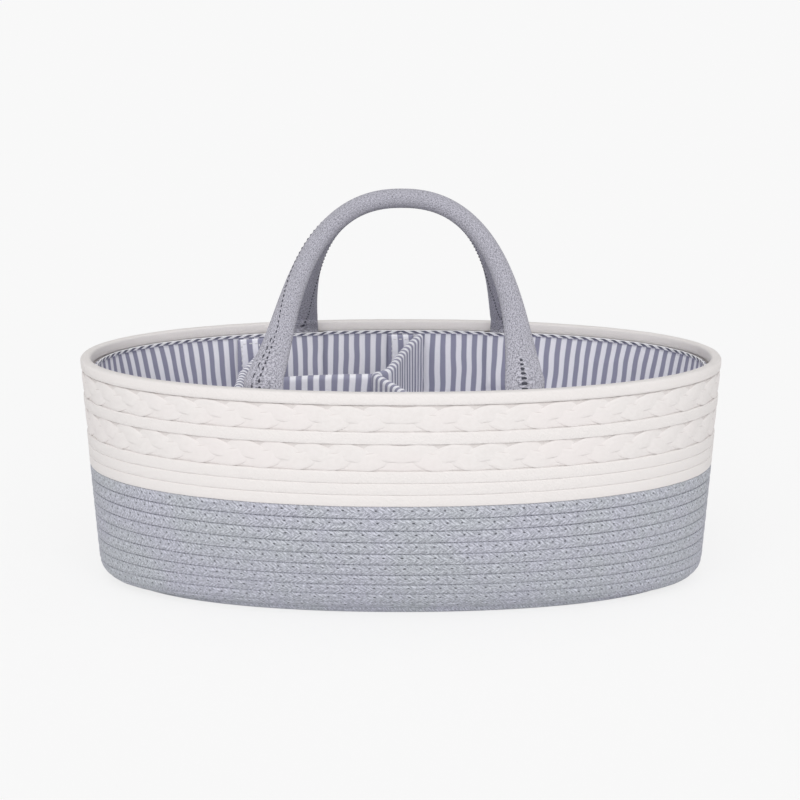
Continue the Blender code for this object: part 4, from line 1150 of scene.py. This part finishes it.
def half_sizes(up):
    """Half the width and half the thickness of a handle at a rise above its fold."""
    wide = TUBE_ACROSS + (FOOT_WIDTH - TUBE_ACROSS) * np.exp(-up / WIDTH_FADE)
    thick = TUBE_ACROSS - (TUBE_ACROSS - FOOT_THICKNESS) * np.exp(-up / THICKNESS_FADE)
    return wide / 2, thick / 2


def handle_surface(side, gone, w, n, above=0.0):
    """A place on a handle: metres along it from its left foot, and shares of its half section."""
    fold, way, out, rise = handle_frame(side)
    run, line_x, line_up, line_tx, line_tu = LINES[side]
    gone, w, n = np.broadcast_arrays(gone, w, n)
    at = np.clip(gone - FOOT_RUN, 0, run[-1])
    middle, up = np.interp(at, run, line_x), np.interp(at, run, line_up)
    t_across, t_up = np.interp(at, run, line_tx), np.interp(at, run, line_tu)
    ease = smooth(up / LINE_EASE)
    upright = np.where(gone > FOOT_RUN + run[-1] / 2, -1.0, 1.0)
    t_across, t_up = t_across * ease, t_up * ease + upright * (1 - ease)
    size = np.hypot(t_across, t_up)
    t_across, t_up = t_across / size, t_up / size
    wide, thick = (half + above for half in half_sizes(up))
    x = middle + t_up * w * wide
    lift = up - t_across * w * wide
    y = fold[0] + way[0] * lift
    z = fold[1] + way[1] * lift
    drop = np.maximum(np.clip(FOOT_RUN - gone, 0, FOOT_RUN),
                      np.clip(gone - FOOT_RUN - run[-1], 0, FOOT_RUN))
    x = np.where(drop > 0, middle + upright * w * wide, x)
    height = np.maximum(FOLD[1] - drop, FOOT_LOWEST)
    inside = wall_reach(x, side, np.minimum(height, WALL_TOP), FOOT_INSET)
    hang = smooth((FOLD[1] - height) / HANG_EASE)
    y = np.where(drop > 0, side * inside * hang + fold[0] * (1 - hang), y)
    z = np.where(drop > 0, height, z)
    turned = smooth((up - drop + TURN_EASE / 2) / TURN_EASE)
    n_y = -(1 - turned) + out[0] * turned
    n_z = out[1] * turned
    size = np.hypot(n_y, n_z)
    return np.stack([x, y + n_y / size * n * thick, z + n_z / size * n * thick], axis=-1)


def handle_section(side, gone, v):
    """Shares of the half section round a handle: nearly flat in the feet, round in the tube."""
    from_foot = np.minimum(gone, LENGTHS[side] - gone)
    power = 2.0 + 2.0 * smooth((FOOT_RUN + FLAT_RUN - from_foot) / FLAT_EASE)
    a, o = oval_section(v, power)
    return a, o * rounded_ends(gone / LENGTHS[side], LENGTHS[side], END_ROUND)


# %% [markdown]
# ## Making the handles
# With the surface known, each handle is one strip laid along it. Tube and feet could be separate
# pieces, but the real cloth is one length, and a seam would open at the fold.

# %% Making the handles
FOLD_BELOW, FOLD_ABOVE, TUBE_GIRTH = 0.003, 0.007, 0.042


def blend_handle(obj, side, name):
    """Bake a piece's placing into its mesh."""
    fold, way, _, _ = handle_frame(side)
    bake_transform(obj)


def handle(name, side):
    """One handle's cloth, from the lower end of its left foot to that of its right foot."""
    def place(u, v):
        gone = u * LENGTHS[side]
        return handle_surface(side, gone, *handle_section(side, gone, v))

    obj = lay(name + "_cloth", 360, 40, place, (LENGTHS[side], TUBE_GIRTH))
    obj.data.materials.append(HEATHER)
    blend_handle(obj, side, name)
    feet = [name.replace("_handle", f"_{hand}_handle_foot") for hand in ("left", "right")]
    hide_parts(name + "_cover", name + "_core", *feet)
    return obj


HANDLES = {"front_handle": -1, "back_handle": 1}
for name, side in HANDLES.items():
    print(name, len(handle(name, side).data.polygons), "faces")

# %% [markdown]
# ## Stitching the handles
# One long seam closes each tube, and its dark thread shows as a row of short stitches. A dashed
# pattern in the cloth's finish would look printed, so the thread is a thin tube that dives under
# the cloth between the stitches. Its stops say how far along the handle it is, in metres from the
# left end, and where on the section: a quarter turn faces out and up, and half a turn is the outer
# edge of a front leg.

# %% Stitching the handles
SEAM_PITCH, SEAM_ACROSS = 0.0033, 0.0006
STITCH_RISE, STITCH_SUNK = 0.6, 0.35


def running_stitch(name, length, on_cloth, material, pitch, across):
    """A thread that dives under the cloth between short stitches. on_cloth(u, sideways, above)."""
    count = max(int(length / pitch), 1)

    def place(u, v):
        a, o = oval_section(v, 2.0)
        lift = -np.cos(u * count * 2 * math.pi)
        above = lift * STITCH_RISE - STITCH_SUNK + o * 0.5
        return on_cloth(u, a * across / 2, above * across)

    obj = lay(name, count * 10, 6, place, (length, across * 3))
    obj.data.materials.append(material)
    return obj


def handle_seam(name, side, rows):
    """Rows of dark stitches on a handle. A row is its stitch and its stops: metres along, turns."""
    laid = []
    for n, (pitch, stops) in enumerate(rows):
        stops = np.array(stops)
        first, long = stops[0, 0], stops[-1, 0] - stops[0, 0]

        def on_cloth(u, sideways, above, stops=stops, first=first, long=long):
            gone = first + long * u
            turned = np.interp(gone, stops[:, 0], stops[:, 1])
            from_fold = np.minimum(gone, LENGTHS[side] - gone) - FOOT_RUN
            wide, thick = half_sizes(np.maximum(from_fold, 0.0))
            angle = turned * 2 * math.pi
            v = turned + sideways / (2 * math.pi * np.hypot(np.sin(angle) * wide,
                                                           np.cos(angle) * thick))
            return handle_surface(side, gone, *handle_section(side, gone, v), above)

        laid.append(running_stitch(f"{name}_stitches_{n}", long, on_cloth, STITCH_DARK, pitch,
                                   SEAM_ACROSS))
    obj = join(name + "_stitches", laid)
    blend_handle(obj, side, name)
    return obj


FRONT, BACK = LENGTHS[-1], LENGTHS[1]
SEAMS = {
    "front_handle": [
        (SEAM_PITCH, [(0.044, 0.256), (0.062, 0.268), (0.084, 0.288), (0.115, 0.38),
                      (0.150, 0.47), (0.190, 0.58), (FRONT / 2, 0.72), (FRONT - 0.110, 0.90),
                      (FRONT - 0.080, 0.98)]),
        (1.5 * SEAM_PITCH, [(0.044, 0.306), (0.076, 0.314)]),
        (0.7 * SEAM_PITCH, [(FRONT - 0.062, 1.245), (FRONT - 0.044, 1.25)])],
    "back_handle": [
        (SEAM_PITCH, [(0.044, 0.25), (0.062, 0.20), (0.110, 0.05), (0.150, 0.0),
                      (BACK / 2, -0.08), (BACK - 0.150, 0.0), (BACK - 0.110, 0.07),
                      (BACK - 0.062, 0.20), (BACK - 0.044, 0.25)])]}
for name, rows in SEAMS.items():
    print(name, "stitches:", len(handle_seam(name, HANDLES[name], rows).data.polygons), "faces")

# %% [markdown]
# ## Divider panels
# The insert is three stiff boards covered in the same striped cloth with a little padding. Boxes
# with rounded edges could stand in for them, but each cover here is one strip folded over the
# board's top edge, so its stripes run over the top and down the other side as the cloth does. The
# cross panels are bent, and the right one steps aside, where the long middle panel meets them.

# %% Divider panels
PANEL_THICKNESS, PANEL_BOTTOM, PANEL_END_INSET, PANEL_GAP = 0.0055, 0.0090, 0.0103, 0.0004
CROSS_TOP, CROSS_RISE, MIDDLE_TOP, MIDDLE_SAG = 0.1274, 0.0035, 0.1256, 0.0034
CROSS = {"left": (-0.0835, -0.0945, -0.0935), "right": (0.0130, -0.0125, 0.0180)}
JOG = {"left": 0.0, "right": 0.0034}
JOG_EASE, JOG_FADE, BEND_EASE = 0.0030, 0.042, 0.002
PANEL_CLOTH_DEEP, PUFF = 0.24, 0.05


def panel_section(v, top):
    """Round a panel: its face from -1 to 1 and its height, closed along the bottom."""
    tall = top - PANEL_BOTTOM
    round_top = PANEL_THICKNESS / 2
    share = v * 2
    side = np.where(v < 0.5, -1.0, 1.0)
    share = np.where(v < 0.5, share, 2 - share)
    rise = np.sin(np.clip(share, 0, 1) * math.pi / 2)
    height = PANEL_BOTTOM + tall * rise
    near_top = np.clip((top - height) / round_top, 0, 1)
    near_foot = np.clip(share * 12, 0, 1)
    face = side * np.sqrt(np.clip(1 - (1 - near_top) ** 2, 0, 1)) * near_foot
    return face, height


def panel(name, node, columns, place, length):
    """Lay one padded panel and let it stand for its CAD cover and board."""
    obj = lay(name, columns, 72, place, (length, PANEL_CLOTH_DEEP))
    obj.data.materials.append(PANEL_STRIPED)
    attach(obj, "divider")
    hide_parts(f"divider_{node}_cover", f"divider_{node}_board")
    print(obj.name, len(obj.data.polygons), "faces")


def cross_panel(hand):
    """A panel across the basket, from the front wall to the back one, bent at its middle."""
    back_x, middle_x, front_x = CROSS[hand]
    heights = np.linspace(PANEL_BOTTOM, CROSS_TOP, 40)

    def reach_at(x, side, height):
        return wall_reach(x, side, height, PANEL_END_INSET)

    reaches = {}
    for side, end_x in ((1, back_x), (-1, front_x)):
        full = reach_at(end_x, side, CROSS_TOP)
        reach = reach_at(end_x, side, heights)
        for _ in range(2):
            reach = reach_at(middle_x + (end_x - middle_x) * reach / full, side, heights)
        reaches[side] = (float(full), reach)
    length = reaches[1][0] + reaches[-1][0]

    def place(u, v):
        t = 1 - 2 * u
        face, height = panel_section(v, CROSS_TOP + CROSS_RISE * smooth(t) * (hand == "right"))
        back = np.interp(height, heights, reaches[1][1])
        front = np.interp(height, heights, reaches[-1][1])
        y = np.where(t > 0, t * back, t * front)
        lean = np.where(t > 0, (back_x - middle_x) / reaches[1][0],
                        (front_x - middle_x) / reaches[-1][0])
        x = middle_x + lean * np.sqrt(y * y + BEND_EASE ** 2) - lean * BEND_EASE
        x = x + JOG[hand] * np.tanh(y / JOG_EASE) * np.exp(-(y / JOG_FADE) ** 2)
        small = rounded_ends(u, length, PANEL_THICKNESS / 2)
        puff = 1 + PUFF * wave(y * 30, height * 20)
        return np.stack([x + face * small * puff * PANEL_THICKNESS / 2, y, height], axis=-1)

    panel(f"{hand}_cross_panel", hand, 200, place, length)


def middle_panel():
    """The long panel between the two others."""
    left = CROSS["left"][1] + PANEL_THICKNESS / 2 + PANEL_GAP
    right = CROSS["right"][1] - PANEL_THICKNESS / 2 - PANEL_GAP

    def place(u, v):
        face, height = panel_section(v, MIDDLE_TOP - MIDDLE_SAG * (1 - u) ** 2)
        small = rounded_ends(u, right - left, PANEL_THICKNESS / 2)
        puff = 1 + PUFF * wave(u * 3, height * 20)
        x = left + u * (right - left)
        return np.stack([x, face * small * puff * PANEL_THICKNESS / 2 + 0 * x, height], axis=-1)

    panel("middle_panel", "middle", 90, place, right - left)


cross_panel("left")
cross_panel("right")
middle_panel()

# %% [markdown]
# ## Hook flaps and tapes
# Four small flaps hold the insert: each is a double layer of striped cloth sewn to the end of a
# cross panel, with hook tape on the side that faces the lining. Loop tape is sewn to the lining
# under it. Flat planes would cut into the curved wall, so all three are thin bands with round edges
# that follow it. The hooks themselves are too fine to model, and the tape's finish draws them.

# %% Hook flaps and tapes
TAB_LOW, TAB_HIGH, TAB_LENGTH, TAB_THICKNESS = 0.0774, 0.1304, 0.0165, 0.0016
TAPE_MARGIN, TAPE_THICKNESS = 0.0015, 0.0008
LOOP_INSET, HOOK_INSET, TAB_INSET = 0.0091, 0.0102, 0.0113
TAB_ROOTS = {("back", "left"): -0.08808, ("front", "left"): -0.09778,
             ("back", "right"): 0.00807, ("front", "right"): 0.01294}
PILE_DARK, PILE_PALE = (0.62, 0.62, 0.64), (0.80, 0.80, 0.81)


def tape_finish(name, scale, strength):
    """Fastening tape: a field of tiny hooks or loops on a woven back."""
    finish = Finish(name, 0.85, sheen=0.3)
    pile = finish.noise(finish.place(), scale, 3.0, 0.8)
    rows = finish.maths("SINE", finish.times(finish.own_uv()[1], 7000.0))
    finish.relief(finish.plus(pile, finish.times(rows, 0.3)), strength, 0.0006)
    return finish.colour(finish.blend(finish.remap(pile, 0.3, 0.7), PILE_DARK, PILE_PALE))


LOOP_TAPE = tape_finish("loop_tape", 1800.0, 0.7)
HOOK_TAPE = tape_finish("hook_tape", 2600.0, 1.0)


def patch(name, span, heights, side, inset, thickness, material, body, node, slot):
    """A thin band with round edges that follows the inside of the wall."""
    low, high = heights
    long, tall = span[1] - span[0], high - low

    def place(u, v):
        x = span[0] + long * u
        share, face = band_section(v, tall, thickness)
        height = high - share * tall
        small = rounded_ends(u, long, thickness / 2)
        deep = inset + thickness / 2 - face * small * thickness / 2
        return np.stack([x, side * wall_reach(x, side, height, deep), height], axis=-1)

    obj = dress(lay(name, 28, 40, place, (long, tall * 2)), material, body, slot, node)


for (end, hand), root in TAB_ROOTS.items():
    side, label = (1 if end == "back" else -1), f"{end}_{hand}"
    span = (root - TAB_LENGTH, root)
    inner = (span[0] + TAPE_MARGIN, span[1] - TAPE_MARGIN)
    heights = (TAB_LOW + TAPE_MARGIN, TAB_HIGH - TAPE_MARGIN)
    patch(label + "_flap_cloth", span, (TAB_LOW, TAB_HIGH), side, TAB_INSET, TAB_THICKNESS,
          PANEL_STRIPED, label + "_flap", label + "_tab", "divider_cloth")
    patch(label + "_hooks", inner, heights, side, HOOK_INSET, TAPE_THICKNESS, HOOK_TAPE,
          label + "_flap", label + "_hook_tape", "tape")
    patch(label + "_loops", inner, heights, side, LOOP_INSET, TAPE_THICKNESS, LOOP_TAPE,
          "basket", label + "_loop_tape", "tape")
    print("flap:", label)

# %% [markdown]
# ## Stitching the flaps
# White thread runs round the three free edges of each flap, and it is what makes the flaps show in
# front of cloth with the same stripes. It is the same dipping thread as on the handles, laid along
# three straight lines a little in from the edges.

# %% Stitching the flaps
SEAM_IN, FLAP_PITCH, FLAP_ACROSS = 0.0028, 0.0030, 0.0007


def flap_seam(name, span, heights, side, body):
    """White stitches round a flap, a little in from its edges."""
    (x0, x1), (z0, z1) = span, heights
    corners = [(x0, z0), (x0, z1), (x1, z1), (x1, z0)]
    rows = []
    for n in range(3):
        (ax, az), (bx, bz) = corners[n], corners[n + 1]
        long = math.hypot(bx - ax, bz - az)

        def on_cloth(u, sideways, above, ax=ax, az=az, bx=bx, bz=bz, long=long):
            x = ax + (bx - ax) * u - (bz - az) / long * sideways
            height = az + (bz - az) * u + (bx - ax) / long * sideways
            deep = TAB_INSET + TAB_THICKNESS + above
            return np.stack([x, side * wall_reach(x, side, height, deep), height], axis=-1)

        rows.append(running_stitch(f"{name}_{n}", long, on_cloth, STITCH_WHITE, FLAP_PITCH,
                                   FLAP_ACROSS))
    obj = join(name, rows)
    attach(obj, body)


for (end, hand), root in TAB_ROOTS.items():
    flap_seam(f"{end}_{hand}_flap_stitches", (root - TAB_LENGTH + SEAM_IN, root - SEAM_IN),
              (TAB_LOW + SEAM_IN, TAB_HIGH - SEAM_IN), 1 if end == "back" else -1,
              f"{end}_{hand}_flap")
print("flaps stitched:", len(TAB_ROOTS))

# %% Sizes
dressed_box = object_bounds()
grown = (dressed_box[1] - dressed_box[0]) - (cad_box[1] - cad_box[0])
print("grown by mm:", [round(float(v) * 1000, 2) for v in grown])
